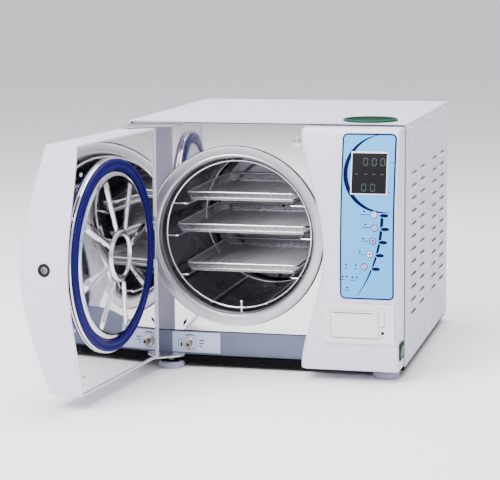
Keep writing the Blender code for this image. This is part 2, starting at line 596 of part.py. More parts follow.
def tank(name, low, high, mouth):
    """A blow-moulded tank with a round mouth in its top; mouth is (x, y, radius)."""
    body = node(name, box((TANK_LEFT, TANK_FRONT, low), (TANK_RIGHT, TANK_REAR, high)), "tank_plastic")
    inner = box((TANK_LEFT + TANK_WALL, TANK_FRONT + TANK_WALL, low + TANK_WALL),
                (TANK_RIGHT - TANK_WALL, TANK_REAR - TANK_WALL, high - TANK_WALL))
    x, y, radius = mouth
    return shape(body, "DIFFERENCE", inner, rod((x, y, 0), "Z", radius, high - 0.01, high + 0.01, 32))


tank("clean_water_tank", 0.225, 0.384, (FILLER_X, FILLER_Y, 0.0385))
tank("waste_water_tank", 0.064, 0.215, (0.130, 0.130, 0.008))
node("filler_cap",
     turned([(0, 0.3800), (0.0365, 0.3800), (0.0372, 0.3973), (FILLER_R, 0.3973), (FILLER_R, 0.3995),
             (FILLER_R - 1.5 * MM, 0.4008), (0.0370, 0.4008), (0.0340, 0.3985), (0, 0.3980)],
            (FILLER_X, FILLER_Y, 0), "Z", 48), "green_plastic", origin=(FILLER_X, FILLER_Y, HEIGHT))

# ---- works in the component bay ----
shape(node("vacuum_pump", rod((0.165, 0, 0.062), "Y", 0.034, 0.190, 0.300, 32), "dark_steel"), "UNION",
      box((0.135, 0.165, 0.030), (0.195, 0.195, 0.110)))
node("steam_generator",
     turned([(0, 0.030), (0.030, 0.030), (0.034, 0.036), (0.034, 0.190), (0.030, 0.196), (0, 0.196)],
            (0.160, 0.360, 0), "Z", 32), "brushed_steel")
coils = [box((0.118 + 0.032 * i, 0.186, 0.252), (0.142 + 0.032 * i, 0.216, 0.290)) for i in range(3)]
shape(node("valve_manifold", box((0.112, 0.180, 0.230), (0.212, 0.222, 0.256)), "brass"), "UNION", *coils)
FAN_SQUARE = 0.046
shape(node("fan_housing",
           box((FAN_X - FAN_SQUARE, 0.436, FAN_Z - FAN_SQUARE),
               (FAN_X + FAN_SQUARE, REAR_FACE - SHEET - GAP, FAN_Z + FAN_SQUARE)), "black_plastic"),
      "DIFFERENCE", rod((FAN_X, 0, FAN_Z), "Y", 0.042, 0.440, 0.48, 32),
      joined(*[box((FAN_X + dx - 0.006, 0.42, FAN_Z - 0.030), (FAN_X + dx + 0.006, 0.45, FAN_Z + 0.030))
               for dx in (-0.027, -0.009, 0.009, 0.027)]))
BLADES = 7
fan_outline = []
for blade in range(BLADES):
    for share, radius in ((0.0, 0.015), (0.10, 0.038), (0.62, 0.038), (0.78, 0.015)):
        angle = math.tau * (blade + share) / BLADES
        fan_outline.append((FAN_X + radius * math.cos(angle), FAN_Z + radius * math.sin(angle)))
node("fan_rotor", prism(fan_outline, "Y", 0.4435, 0.4580), "black_plastic", origin=(FAN_X, 0.45, FAN_Z))
node("control_board", box((0.112, -0.0120, 0.140), (0.214, -0.0104, 0.380)), "circuit_green")
shape(node("power_inlet",
           box((INLET_X - 0.025, 0.440, INLET_Z - 0.015), (INLET_X + 0.025, 0.4665, INLET_Z + 0.015)),
           "black_plastic"),
      "DIFFERENCE",
      box((INLET_X - 0.012, 0.448, INLET_Z - 0.0085), (INLET_X + 0.012, 0.47, INLET_Z + 0.0085)))
node("safety_valve",
     turned([(0, 0.3363), (0.012, 0.3363), (0.012, 0.350), (0.009, 0.352), (0.009, 0.385), (0.013, 0.387),
             (0.013, 0.399), (0, 0.400)], (CHAMBER_X, 0, 0.270), "Y", 24), "brass")

# ---- feet ----
disc_top = PAN_LOW - GAP
foot_disc = [(0, 0), (FOOT_R - 1.5 * MM, 0), (FOOT_R, 1.5 * MM), (FOOT_R, disc_top - 1 * MM),
             (FOOT_R - 1 * MM, disc_top)]
stem = [(STEM_R, disc_top), (STEM_R, 0.0167), (0, 0.0167)]
for name, x, y, top in (("foot_front_left", LEFT_FOOT_X, 0, stem),
                        ("foot_front_right", RIGHT_FOOT_X, 0, stem),
                        ("foot_rear_left", -REAR_FOOT_X, REAR_FOOT_Y, [(0, disc_top)]),
                        ("foot_rear_right", REAR_FOOT_X, REAR_FOOT_Y, [(0, disc_top)])):
    node(name, turned(foot_disc + top, (x, y, 0), "Z", 32), "foot_grey", origin=(x, y, 0))
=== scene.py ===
"""Looks of a benchtop steam autoclave whose round chamber door stands open.

Lengths are metres. Shapes are worked out in the cabinet's own frame, with X = 0 in the
middle of its sheet cover and Z = 0 on the table, and add_piece puts them in their place.
Pieces of the door are worked out with the door shut, and swung open about its hinge.
"""

import json
import logging
import math
from dataclasses import dataclass, field
from enum import Enum
from typing import Any, Callable, Sequence

import bmesh
import bpy
import numpy as np
from mathutils import Matrix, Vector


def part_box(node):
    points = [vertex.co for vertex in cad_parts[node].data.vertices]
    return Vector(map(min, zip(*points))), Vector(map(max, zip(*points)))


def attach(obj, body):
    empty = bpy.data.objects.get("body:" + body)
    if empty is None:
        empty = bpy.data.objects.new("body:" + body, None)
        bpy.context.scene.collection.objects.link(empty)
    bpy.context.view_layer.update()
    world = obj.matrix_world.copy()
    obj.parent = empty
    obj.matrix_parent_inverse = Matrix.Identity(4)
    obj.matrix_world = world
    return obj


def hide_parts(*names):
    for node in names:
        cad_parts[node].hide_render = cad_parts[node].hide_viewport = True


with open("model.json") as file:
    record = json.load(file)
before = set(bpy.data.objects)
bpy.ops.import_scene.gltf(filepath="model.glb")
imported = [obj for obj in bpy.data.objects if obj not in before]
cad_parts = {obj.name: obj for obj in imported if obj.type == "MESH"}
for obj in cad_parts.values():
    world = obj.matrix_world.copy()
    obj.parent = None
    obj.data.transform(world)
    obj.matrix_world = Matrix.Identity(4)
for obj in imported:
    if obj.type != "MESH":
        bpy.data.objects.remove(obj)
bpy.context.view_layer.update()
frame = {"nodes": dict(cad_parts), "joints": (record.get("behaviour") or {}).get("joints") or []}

LOG = logging.getLogger("autoclave")
MM = 0.001
Array = np.ndarray
Front = Callable[[Array], Array]
Pairs = Sequence[tuple[float, float]]


# ---------------------------------------------------------------- the CAD frame
@dataclass(frozen=True)
class Place:
    """A CAD node's box, by its lowest and highest corner in the cabinet's frame."""

    low: Array
    high: Array

    @property
    def at(self) -> Array:
        """Its middle."""
        return (self.low + self.high) / 2

    @property
    def radius(self) -> float:
        """Half its width."""
        return (self.high[0] - self.low[0]) / 2


SHIFT = np.array([(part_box("outer_cover")[0][0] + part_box("outer_cover")[1][0]) / 2, 0.0, 0.0])


def cad(node: str) -> Place:
    """Where a CAD node stands."""
    low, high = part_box(node)
    return Place(np.array(low) - SHIFT, np.array(high) - SHIFT)


HINGE = next(joint for joint in frame["joints"] if joint["name"] == "door_hinge")
PIVOT = np.array(HINGE["pos_m"]) - SHIFT
DOOR_OPEN = math.radians(-HINGE["range_deg"][0])


# ---------------------------------------------------------------- finishes
class Grain(Enum):
    """How a finish is textured: its noise scale, stretch along X, Y, Z, and bump in metres."""

    MOULDED = (900.0, (1.0, 1.0, 1.0), 0.00004)
    POWDER = (420.0, (1.0, 1.0, 1.0), 0.00006)
    BRUSHED_ACROSS = (500.0, (0.02, 1.0, 1.0), 0.00002)
    BRUSHED_BACK = (500.0, (1.0, 0.02, 1.0), 0.00002)
    POLISHED = (14.0, (1.0, 1.0, 1.0), 0.00001)
    RUBBER = (700.0, (1.0, 1.0, 1.0), 0.00008)
    CAST = (260.0, (1.0, 1.0, 1.0), 0.00015)


def plug(tree: bpy.types.NodeTree, node: bpy.types.Node, inputs: dict) -> None:
    """Links or sets a node's inputs.

    Args:
        tree: the node's tree.
        node: the node.
        inputs: a value or another node's output for each input, by name or number.
    """
    for label, value in inputs.items():
        if isinstance(value, bpy.types.NodeSocket):
            tree.links.new(value, node.inputs[label])
        else:
            node.inputs[label].default_value = value


def wired(tree: bpy.types.NodeTree, kind: str, inputs: dict, out: str | int,
          **settings: Any) -> bpy.types.NodeSocket:
    """Adds a node to a tree.

    Args:
        tree: the tree.
        kind: the node's type, less its "ShaderNode".
        inputs: what its inputs take.
        out: the wanted output, by name or number.
        settings: its properties.

    Returns:
        The wanted output.
    """
    node = tree.nodes.new(f"ShaderNode{kind}")
    for label, value in settings.items():
        setattr(node, label, value)
    plug(tree, node, inputs)
    return node.outputs[out]


def new_group(name: str, inputs: dict, output: str) -> tuple:
    """A shader node group with one float output.

    Args:
        name: the group's name.
        inputs: each input's default, or None for a vector.
        output: the output's name.

    Returns:
        The group, its inputs as seen inside it, and its output node.
    """
    group = bpy.data.node_groups.new(name, "ShaderNodeTree")
    for label, default in inputs.items():
        kind = "NodeSocketVector" if default is None else "NodeSocketFloat"
        socket = group.interface.new_socket(name=label, in_out="INPUT", socket_type=kind)
        if default is not None:
            socket.default_value = default
    group.interface.new_socket(name=output, in_out="OUTPUT", socket_type="NodeSocketFloat")
    return group, group.nodes.new("NodeGroupInput").outputs, group.nodes.new("NodeGroupOutput")


def make_grain_group() -> bpy.types.NodeTree:
    """Fine surface grain: noise on stretched Object coordinates.

    Returns:
        The group.
    """
    group, given, out = new_group("surface_grain", {"Place": None, "Scale": 500.0}, "Height")
    texture = {"Detail": 3.0, "Roughness": 0.6, "Vector": given["Place"], "Scale": given["Scale"]}
    plug(group, out, {"Height": wired(group, "TexNoise", texture, "Fac")})
    return group


def make_wear_group() -> bpy.types.NodeTree:
    """Handling marks: broad soft clouds times small smudges, as one mask from 0 to 1.

    Returns:
        The group.
    """
    group, given, out = new_group("handling_marks", {"Place": None, "Amount": 0.5}, "Mask")
    place = given["Place"]
    clouds, smudges = [wired(group, "TexNoise", {"Scale": scale, "Detail": detail, "Vector": place}, "Fac")
                       for scale, detail in ((9.0, 2.0), (65.0, 5.0))]
    both = wired(group, "Math", {0: clouds, 1: smudges}, 0, operation="MULTIPLY")
    spread = wired(group, "MapRange", {"From Min": 0.15, "From Max": 0.40, "Value": both}, "Result")
    mask = wired(group, "Math", {0: spread, 1: given["Amount"]}, 0, operation="MULTIPLY")
    plug(group, out, {"Mask": mask})
    return group


GRAIN_GROUP = make_grain_group()
WEAR_GROUP = make_wear_group()


@dataclass(frozen=True)
class Finish:
    """One material: a colour with slight cloudy shading, fine grain and smudged gloss.

    Args:
        name: the material's name.
        slot: the record's material slot that it belongs to; not used.
        colour: linear base colour.
        roughness: least roughness.
        grain: kind of fine texture.
        metallic: 0 or 1.
        coat: weight of a clear coat.
        shade: how much the clouds darken the colour.
        smudge: how much smudges raise the roughness.
        glow: emission strength of the same colour.
        gleam: specular level of a plastic or paint.
    """

    name: str
    slot: str
    colour: tuple[float, float, float]
    roughness: float = 0.4
    grain: Grain = Grain.MOULDED
    metallic: float = 0.0
    coat: float = 0.0
    shade: float = 0.06
    smudge: float = 0.08
    glow: float = 0.0
    gleam: float = 0.5

    def material(self) -> bpy.types.Material:
        """The Blender material, made once."""
        return bpy.data.materials.get(self.name) or self.make()

    def make(self) -> bpy.types.Material:
        """Makes the material: grain drives its bump, and the wear mask its colour and roughness.

        Returns:
            The material.
        """
        made = bpy.data.materials.new(self.name)
        made.use_nodes = True
        tree = made.node_tree
        scale, stretch, depth = self.grain.value
        place = wired(tree, "TexCoord", {}, "Object")
        stretched = wired(tree, "Mapping", {"Scale": stretch, "Vector": place}, "Vector")
        height = wired(tree, "Group", {"Scale": scale, "Place": stretched}, "Height", node_tree=GRAIN_GROUP)
        mask = wired(tree, "Group", {"Amount": 1.0, "Place": place}, "Mask", node_tree=WEAR_GROUP)
        darker = (*[channel * (1 - self.shade) for channel in self.colour], 1.0)
        tint = wired(tree, "Mix", {6: (*self.colour, 1.0), 7: darker, "Factor": mask}, 2, data_type="RGBA")
        span = {"To Min": self.roughness, "To Max": min(1.0, self.roughness + self.smudge), "Value": mask}
        surface = {
            "Metallic": self.metallic, "Coat Weight": self.coat, "Coat Roughness": 0.08,
            "Specular IOR Level": self.gleam, "Base Color": tint,
            "Roughness": wired(tree, "MapRange", span, "Result"),
            "Normal": wired(tree, "Bump", {"Distance": depth, "Strength": 0.5, "Height": height}, "Normal")}
        if self.glow > 0:
            surface |= {"Emission Color": tint, "Emission Strength": self.glow}
        plug(tree, tree.nodes["Principled BSDF"], surface)
        return made


COVER = Finish("cover_powder_coat", "cover_paint", (0.56, 0.57, 0.70), 0.42, Grain.POWDER, shade=0.05)
MOULDING = Finish("fascia_moulding", "white_moulding", (0.64, 0.63, 0.76), 0.36, coat=0.15, shade=0.04)
PRINTER = Finish("printer_moulding", "white_moulding", (0.74, 0.68, 0.72), 0.45, shade=0.04)
MIRROR = Finish("polished_steel", "mirror_steel", (0.80, 0.78, 0.80),
                0.03, Grain.POLISHED, 1.0, shade=0.08, smudge=0.05)
SATIN = Finish("satin_steel", "brushed_steel", (0.60, 0.58, 0.60), 0.26, Grain.BRUSHED_BACK, 1.0,
               shade=0.15)
BRIGHT = Finish("bright_wire", "brushed_steel", (0.86, 0.85, 0.87), 0.16, Grain.BRUSHED_BACK, 1.0)
MESH = Finish("mesh_wire", "brushed_steel", (0.46, 0.45, 0.48), 0.28, Grain.BRUSHED_BACK, 1.0)
# The vessel's steel is much darker than the other steels: painted shade for the inside of the chamber.
VESSEL_PAINTED_SHADE = Finish("vessel_steel_painted_shade", "brushed_steel", (0.13, 0.12, 0.135),
                0.22, Grain.BRUSHED_BACK, 1.0, shade=0.3)
BACK_WALL = Finish("vessel_end_steel", "brushed_steel", (0.62, 0.60, 0.68),
                   0.34, Grain.BRUSHED_ACROSS, 1.0, shade=0.3)
RING = Finish("flange_steel", "brushed_steel", (0.52, 0.50, 0.53),
              0.30, Grain.BRUSHED_ACROSS, 1.0, shade=0.12)
STRIP = Finish("strip_enamel", "strip_paint", (0.125, 0.140, 0.215), 0.45, Grain.POWDER)
LABEL = Finish("label_film", "label_white", (0.50, 0.57, 0.76), 0.40)
FILM = Finish("membrane_film", "overlay_blue", (0.075, 0.36, 0.78), 0.45, shade=0.04, gleam=0.25)
NAVY = Finish("navy_print", "overlay_blue", (0.0008, 0.0015, 0.036), 0.5, smudge=0.0, gleam=0.06)
SMALL_PRINT = Finish("small_print", "overlay_blue", (0.008, 0.02, 0.07), 0.5, gleam=0.1)
GASKET = Finish("gasket_silicone", "silicone_blue", (0.005, 0.002, 0.085), 0.42, Grain.RUBBER, gleam=0.10)
BLACK = Finish("black_moulding", "black_plastic", (0.005, 0.005, 0.006), 0.4, gleam=0.2)
PAN = Finish("pan_black", "dark_steel", (0.002, 0.002, 0.003), 0.7, Grain.POWDER, gleam=0.08)
SCREEN = Finish("display_glass", "screen", (0.010, 0.009, 0.011),
                0.25, Grain.POLISHED, smudge=0.04, gleam=0.12)
SEGMENT = Finish("display_segment", "screen", (0.035, 0.060, 0.045), 0.45, glow=0.1)
CAP_GREEN = Finish("cap_green", "green_plastic", (0.0005, 0.022, 0.009), 0.5, smudge=0.0, gleam=0.06)
# The cap's rim is a paler copy of the cap's green: painted highlight.
CAP_RIM_HIGHLIGHT = Finish("cap_rim_painted_highlight", "green_plastic", (0.001, 0.065, 0.034), 0.4, gleam=0.15)
# The rocker's slight glow is painted light: the switch is no lamp.
ROCKER_PAINTED_GLOW = Finish("rocker_green_painted_glow", "green_plastic", (0.003, 0.10, 0.035), 0.3, gleam=0.2, glow=0.15)
LAMP = Finish("lamp_dark_green", "overlay_blue", (0.001, 0.010, 0.012), 0.3, gleam=0.1)
KEY_PALE = Finish("key_pale", "button_grey", (0.82, 0.80, 0.90), 0.40)
KEY_MAUVE = Finish("key_mauve", "button_grey", (0.50, 0.44, 0.72), 0.40)
KEY_INK = Finish("key_ink", "button_grey", (0.04, 0.02, 0.12), 0.5, gleam=0.1)
FOOT = Finish("foot_rubber", "foot_grey", (0.34, 0.34, 0.44), 0.55, Grain.RUBBER)
COPPER = Finish("copper_fitting", "brass", (0.50, 0.26, 0.14), 0.3, Grain.CAST, 1.0)
NICKEL = Finish("nickel_fitting", "brass", (0.34, 0.30, 0.25), 0.20, Grain.CAST, 1.0, shade=0.3)
TANK = Finish("tank_polythene", "tank_plastic", (0.72, 0.75, 0.78), 0.45)
LAGGING = Finish("lagging_wool", "insulation", (0.50, 0.45, 0.36), 0.95, Grain.CAST, shade=0.4)
BOARD = Finish("board_green", "circuit_green", (0.02, 0.16, 0.07), 0.4)
PAPER = Finish("thermal_paper", "paper", (0.82, 0.82, 0.80), 0.8)
DARK_STEEL = Finish("dark_enamel", "dark_steel", (0.06, 0.06, 0.065), 0.45, Grain.POWDER)
FLOOR = Finish("pale_floor", "cover_paint", (0.93, 0.93, 0.93), 0.7, shade=0.0, smudge=0.0)


# ---------------------------------------------------------------- shapes
@dataclass
class Shape:
    """Points (n, 3) in the cabinet's frame, and faces as tuples of point numbers."""

    points: Array
    faces: list = field(default_factory=list)

    def __add__(self, other: "Shape") -> "Shape":
        """Joins two shapes.

        Args:
            other: the other shape.

        Returns:
            Both in one.
        """
        start = len(self.points)
        moved = [tuple(i + start for i in face) for face in other.faces]
        return Shape(np.vstack([self.points, other.points]), self.faces + moved)

    def moved(self, x: float = 0.0, y: float = 0.0, z: float = 0.0) -> "Shape":
        """The shape, moved."""
        return Shape(self.points + np.array([x, y, z]), self.faces)

    def mirrored(self) -> "Shape":
        """The shape on the cabinet's other side."""
        return Shape(self.points * np.array([-1.0, 1.0, 1.0]), self.faces)

    def swung(self) -> "Shape":
        """Turns the shape about the door hinge, from shut to its rest angle.

        Returns:
            The turned shape.
        """
        c, s = math.cos(DOOR_OPEN), math.sin(DOOR_OPEN)
        offset = self.points - PIVOT
        x = offset[:, 0] * c + offset[:, 1] * s
        y = -offset[:, 0] * s + offset[:, 1] * c
        return Shape(np.stack([x, y, offset[:, 2]], 1) + PIVOT, self.faces)


def together(shapes: Sequence[Shape]) -> Shape:
    """Many shapes in one."""
    return sum(shapes[1:], shapes[0])


def around(count: int) -> Array:
    """Even angles round a circle."""
    return np.linspace(0, 2 * math.pi, count, endpoint=False)


def skin(grid: Array, close_rows: bool = False) -> Shape:
    """Quads over a grid of points whose last column meets its first.

    Args:
        grid: points as (rows, columns, 3).
        close_rows: the last row meets the first; if not, both get a cap.

    Returns:
        The shape.
    """
    rows, cols = grid.shape[:2]
    r = np.arange(rows if close_rows else rows - 1)[:, None]
    c = np.arange(cols)[None, :]
    next_r, next_c = (r + 1) % rows, (c + 1) % cols
    quads = np.stack([r * cols + c, r * cols + next_c, next_r * cols + next_c, next_r * cols + c], -1)
    faces = [tuple(quad) for quad in quads.reshape(-1, 4).tolist()]
    if not close_rows:
        faces += [tuple(range(cols)), tuple(range((rows - 1) * cols, rows * cols))]
    return Shape(grid.reshape(-1, 3), faces)


def on_axis(axis: str, u: Array, v: Array, along: Array) -> Array:
    """Points from two coordinates across an axis and one along it."""
    return np.stack({"X": [along, u, v], "Y": [u, along, v], "Z": [u, v, along]}[axis], -1)


def profile(points: Pairs, start: float = 0.0, unit: float = MM) -> list:
    """Turned profile points, from radii in a unit and heights in millimetres from a start."""
    return [(radius * unit, start + height * MM) for radius, height in points]


def lathe(outline: Pairs, centre: Sequence[float], axis: str, segments: int, ring: bool = False) -> Shape:
    """A profile turned about an axis.

    Each point is (radius cos a, radius sin a) across the axis and its height along it.

    Args:
        outline: (radius, height) points.
        centre: a point on the axis.
        axis: "X", "Y" or "Z".
        segments: steps round the axis.
        ring: the profile closes on itself, round a hole.

    Returns:
        The shape.
    """
    outline = np.array(outline, float)
    angle = around(segments)[None, :]
    radius = np.maximum(outline[:, :1], 0.02 * MM)
    grid = on_axis(axis, radius * np.cos(angle), radius * np.sin(angle), outline[:, 1:] + 0 * angle)
    return skin(grid + np.array(centre, float), ring)


def drum(radius: float, span: tuple[float, float], centre: Sequence[float], axis: str,
         segments: int) -> Shape:
    """A plain round bar from one height to another, for holes and plugs."""
    return lathe([(0, span[0]), (radius, span[0]), (radius, span[1]), (0, span[1])], centre, axis, segments)


def filleted(corners: Pairs, radius: float, steps: int = 4, ring: bool = False) -> list:
    """A 2-D outline with its corners rounded by quadratic arcs.

    Args:
        corners: the outline's corners.
        radius: how far from a corner its rounding starts.
        steps: points on each arc, less one.
        ring: the outline closes, so its ends are rounded too.

    Returns:
        The outline as (u, v) points.
    """
    points = np.array(corners, float)
    out = []
    t = np.linspace(0, 1, steps + 1)[:, None]
    for i, here in enumerate(points):
        if not ring and i in (0, len(points) - 1):
            out.append(tuple(here))
            continue
        ends = []
        for leg in (points[i - 1] - here, points[(i + 1) % len(points)] - here):
            length = np.linalg.norm(leg)
            ends.append(here + leg / length * min(radius, length * 0.45))
        out += [tuple(p) for p in (1 - t) ** 2 * ends[0] + 2 * t * (1 - t) * here + t**2 * ends[1]]
    return out


def rounded(x: tuple[float, float], y: tuple[float, float], radius: float, steps: int) -> Array:
    """A rectangle with rounded corners, as (n, 2) points."""
    corners = [(x[0], y[0]), (x[1], y[0]), (x[1], y[1]), (x[0], y[1])]
    return np.array(filleted(corners, radius, steps, True))


def tube(path: Array, radius: float, normal: Sequence[float], sides: int = 10,
         closed: bool = False) -> Shape:
    """A round wire along a flat path: circles across its direction.

    Args:
        path: points (n, 3) that lie in one plane.
        radius: the wire's radius.
        normal: the plane's normal.
        sides: facets round the wire.
        closed: the path's end meets its start.

    Returns:
        The shape.
    """
    along = np.roll(path, -1, 0) - np.roll(path, 1, 0) if closed else np.gradient(path, axis=0)
    along /= np.linalg.norm(along, axis=1, keepdims=True)
    side = np.array(normal, float)[None, :]
    angle = around(sides)[None, :, None]
    circle = np.cos(angle) * side[:, None, :] + np.sin(angle) * np.cross(along, side)[:, None, :]
    return skin(path[:, None, :] + radius * circle, closed)


def wire_hoop(centre: Sequence[float], radius: float, wire: float, count: int, sides: int) -> Shape:
    """An upright wire ring that faces along Y.

    Args:
        centre: its middle.
        radius: its radius.
        wire: the wire's radius.
        count: points round it.
        sides: facets round the wire.

    Returns:
        The shape.
    """
    turn = around(count)
    ring = on_axis("Y", radius * np.cos(turn), radius * np.sin(turn), 0 * turn) + np.array(centre)
    return tube(ring, wire, (0, 1, 0), sides, True)


def block(low: Sequence[float], high: Sequence[float], edge: float = 0.6 * MM) -> Shape:
    """A box with rounded upright edges and softened ends: a rounded outline carried along Z.

    Args:
        low: lowest corner.
        high: highest corner.
        edge: rounding of the edges.

    Returns:
        The shape.
    """
    (x0, y0, z0), (x1, y1, z1) = low, high
    rows = []
    for z, inset in ((z0, edge), (z0 + edge, 0.0), (z1 - edge, 0.0), (z1, edge)):
        outline = rounded((x0 + inset, x1 - inset), (y0 + inset, y1 - inset), edge * 1.5, 3)
        rows.append(np.column_stack([outline, np.full(len(outline), z)]))
    return skin(np.stack(rows))


def flat(place: float) -> Front:
    """A front or side that stands at one place at every height."""
    return lambda z: 0 * z + place


def panel(front: Front, x: tuple[float, float], z: tuple[float, float], lift: tuple[float, float],
          corner: float, edge: float = 0.3) -> Shape:
    """A thin sheet with rounded corners that lies on a front, softened along its outer edge.

    At each height the sheet runs between its sides, drawn in near the corners by a quarter
    circle, and follows the front's depth at that height.

    Args:
        front: depth (Y) of the front at a height.
        x: left and right side.
        z: bottom and top.
        lift: how far its back and face stand off the front, in millimetres.
        corner: radius of its corners, in millimetres.
        edge: softening of its face's edge, in millimetres.

    Returns:
        The shape.
    """
    corner, edge = corner * MM, edge * MM
    turn = np.linspace(0, math.pi / 2, 7)
    straight = np.linspace(z[0] + corner, z[1] - corner, max(4, int((z[1] - z[0]) / 0.006)))
    low, high = z[0] + corner * (1 - np.cos(turn[:-1])), z[1] - corner * (1 - np.cos(turn[-2::-1]))
    levels = np.concatenate([low, straight, high])
    past = np.clip(np.maximum(z[0] + corner - levels, levels - (z[1] - corner)), 0, corner)
    drawn = corner - np.sqrt(np.maximum(corner**2 - past**2, 0))
    left, right = x[0] + drawn, x[1] - drawn
    back, face = front(levels) - lift[0] * MM, front(levels) - lift[1] * MM
    outline = ((left, back), (left, face + edge), (left + edge, face),
               (right - edge, face), (right, face + edge), (right, back))
    return skin(np.stack([np.stack([side, depth, levels], 1) for side, depth in outline], 1))


def ribbon(front: Front, sides: Sequence[Array], lift: tuple[float, float], closed: bool = False) -> Shape:
    """A print that lies on a front between two lines of (x, z) points.

    Args:
        front: depth of the front at a height.
        sides: its left and right line.
        lift: how far its back and face stand off the front, in millimetres.
        closed: the lines close on themselves.

    Returns:
        The shape.
    """
    corners = ((sides[0], lift[0]), (sides[0], lift[1]), (sides[1], lift[1]), (sides[1], lift[0]))
    rows = [np.stack([p[:, 0], front(p[:, 1]) - up * MM, p[:, 1]], 1) for p, up in corners]
    return skin(np.stack(rows, 1), closed)


def stroke(front: Front, path: Any, width: Any, lift: tuple[float, float]) -> Shape:
    """A printed line on a front: a ribbon of even or changing width along a path.

    Args:
        front: depth of the front at a height.
        path: (x, z) points.
        width: its width, or the width at each point, in millimetres.
        lift: how far its back and face stand off the front, in millimetres.

    Returns:
        The shape.
    """
    path = np.array(path, float)
    along = np.gradient(path, axis=0)
    along /= np.linalg.norm(along, axis=1, keepdims=True)
    half = np.maximum(np.broadcast_to(width, len(path)), 0.1) * MM / 2
    across = np.stack([-along[:, 1], along[:, 0]], 1) * half[:, None]
    return ribbon(front, (path + across, path - across), lift)


def dot(front: Front, at: tuple[float, float], radii: tuple[float, float],
        lift: tuple[float, float]) -> Shape:
    """An oval spot on a front, domed a little: rings of points round its middle.

    Args:
        front: depth of the front at a height.
        at: (x, z) of its middle.
        radii: half its width and half its height, in millimetres.
        lift: how far its back and face stand off the front, in millimetres.

    Returns:
        The shape.
    """
    angle = around(28)[None, :]
    share = np.array([0.01, 1.0, 1.0, 0.9, 0.01])[:, None] * MM
    up = np.array([lift[0], lift[0], lift[1] * 0.8, lift[1], lift[1]])[:, None] * MM
    x = at[0] + radii[0] * share * np.cos(angle)
    z = at[1] + radii[1] * share * np.sin(angle)
    return skin(np.stack([x, front(z) - up, z], -1))


def pan_head(at: Sequence[float], axis: str, radius: float = 3.2) -> Shape:
    """A pan-head screw with a shallow recess: a small turned dome, its radius in millimetres."""
    dome = [(0, -0.9), (1, -0.9), (1, 0.36), (0.85, 1.26), (0.5, 1.8), (0.3, 1.8), (0.25, 0.9), (0, 0.9)]
    return lathe(profile(dome, 0.0, radius * MM), at, axis, 20)


def carved(shape: Shape, cutters: Sequence[Shape]) -> Shape:
    """A shape with others cut out of it by an exact Boolean.

    Args:
        shape: what is cut.
        cutters: what is taken away.

    Returns:
        The cut shape.
    """
    body = plain_object("carving", shape)
    tools = [plain_object(f"cutter_{i}", cutter) for i, cutter in enumerate(cutters)]
    for tool in tools:
        cut = body.modifiers.new("cut", "BOOLEAN")
        cut.operation = "DIFFERENCE"
        cut.solver = "EXACT"
        cut.object = tool
    bpy.context.view_layer.update()
    result = bpy.data.meshes.new_from_object(body.evaluated_get(bpy.context.evaluated_depsgraph_get()))
    points = np.zeros(len(result.vertices) * 3)
    result.vertices.foreach_get("co", points)
    faces = [tuple(polygon.vertices) for polygon in result.polygons]
    for used in [body, *tools]:
        bpy.data.objects.remove(used, do_unlink=True)
    return Shape(points.reshape(-1, 3), faces)


def plain_object(name: str, shape: Shape) -> bpy.types.Object:
    """A mesh object with outward normals, linked to the scene.

    Args:
        name: the object's name.
        shape: its shape.

    Returns:
        The object.
    """
    mesh = bpy.data.meshes.new(name)
    mesh.from_pydata(shape.points.tolist(), [], shape.faces)
    work = bmesh.new()
    work.from_mesh(mesh)
    bmesh.ops.recalc_face_normals(work, faces=work.faces)
    work.to_mesh(mesh)
    work.free()
    made = bpy.data.objects.new(name, mesh)
    bpy.context.scene.collection.objects.link(made)
    return made


def add_piece(name: str, shape: Shape, finish: Finish, body: str = "cabinet", stands_for: str = "",
              swing: bool = False, crease: float = 32.0) -> bpy.types.Object:
    """A finished piece in its place, riding on its body.

    Args:
        name: the piece's name.
        shape: its shape in the cabinet's frame.
        finish: its material.
        body: the CAD body that it moves with.
        stands_for: the CAD node that it hides, if any.
        swing: the shape is of the shut door, and is swung open.
        crease: edges sharper than this many degrees stay crisp.

    Returns:
        The object.
    """
    piece = plain_object(name, (shape.swung() if swing else shape).moved(*SHIFT))
    piece.data.shade_smooth()
    piece.data.set_sharp_from_angle(angle=math.radians(crease))
    piece.data.materials.append(finish.material())
    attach(piece, body)
    if stands_for:
        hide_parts(stands_for)
    LOG.info("%s: %d faces", name, len(piece.data.polygons))
    return piece


def turned(name: str, outline: Pairs, centre: Sequence[float], axis: str, segments: int, finish: Finish,
           ease: float = 0.0, steps: int = 4, ring: bool = False, **more: Any) -> bpy.types.Object:
    """A piece turned from a profile.

    Args:
        name: the piece's name.
        outline: (radius, height) points.
        centre: a point on the axis.
        axis: "X", "Y" or "Z".
        segments: steps round the axis.
        finish: its material.
        ease: rounding of the profile's corners, in millimetres.
        steps: points on each rounding, less one.
        ring: the profile closes on itself, round a hole.
        more: what else add_piece takes.

    Returns:
        The object.
    """
    soft = filleted(outline, ease * MM, steps, ring) if ease else outline
    return add_piece(name, lathe(soft, centre, axis, segments, ring), finish, **more)


def dress(finish: Finish, nodes: str) -> None:
    """Gives CAD nodes their finish.

    Args:
        finish: the finish.
        nodes: the nodes' names, with spaces between.
    """
    for node in nodes.split():
        mesh = frame["nodes"][node].data
        mesh.materials.clear()
        mesh.materials.append(finish.material())


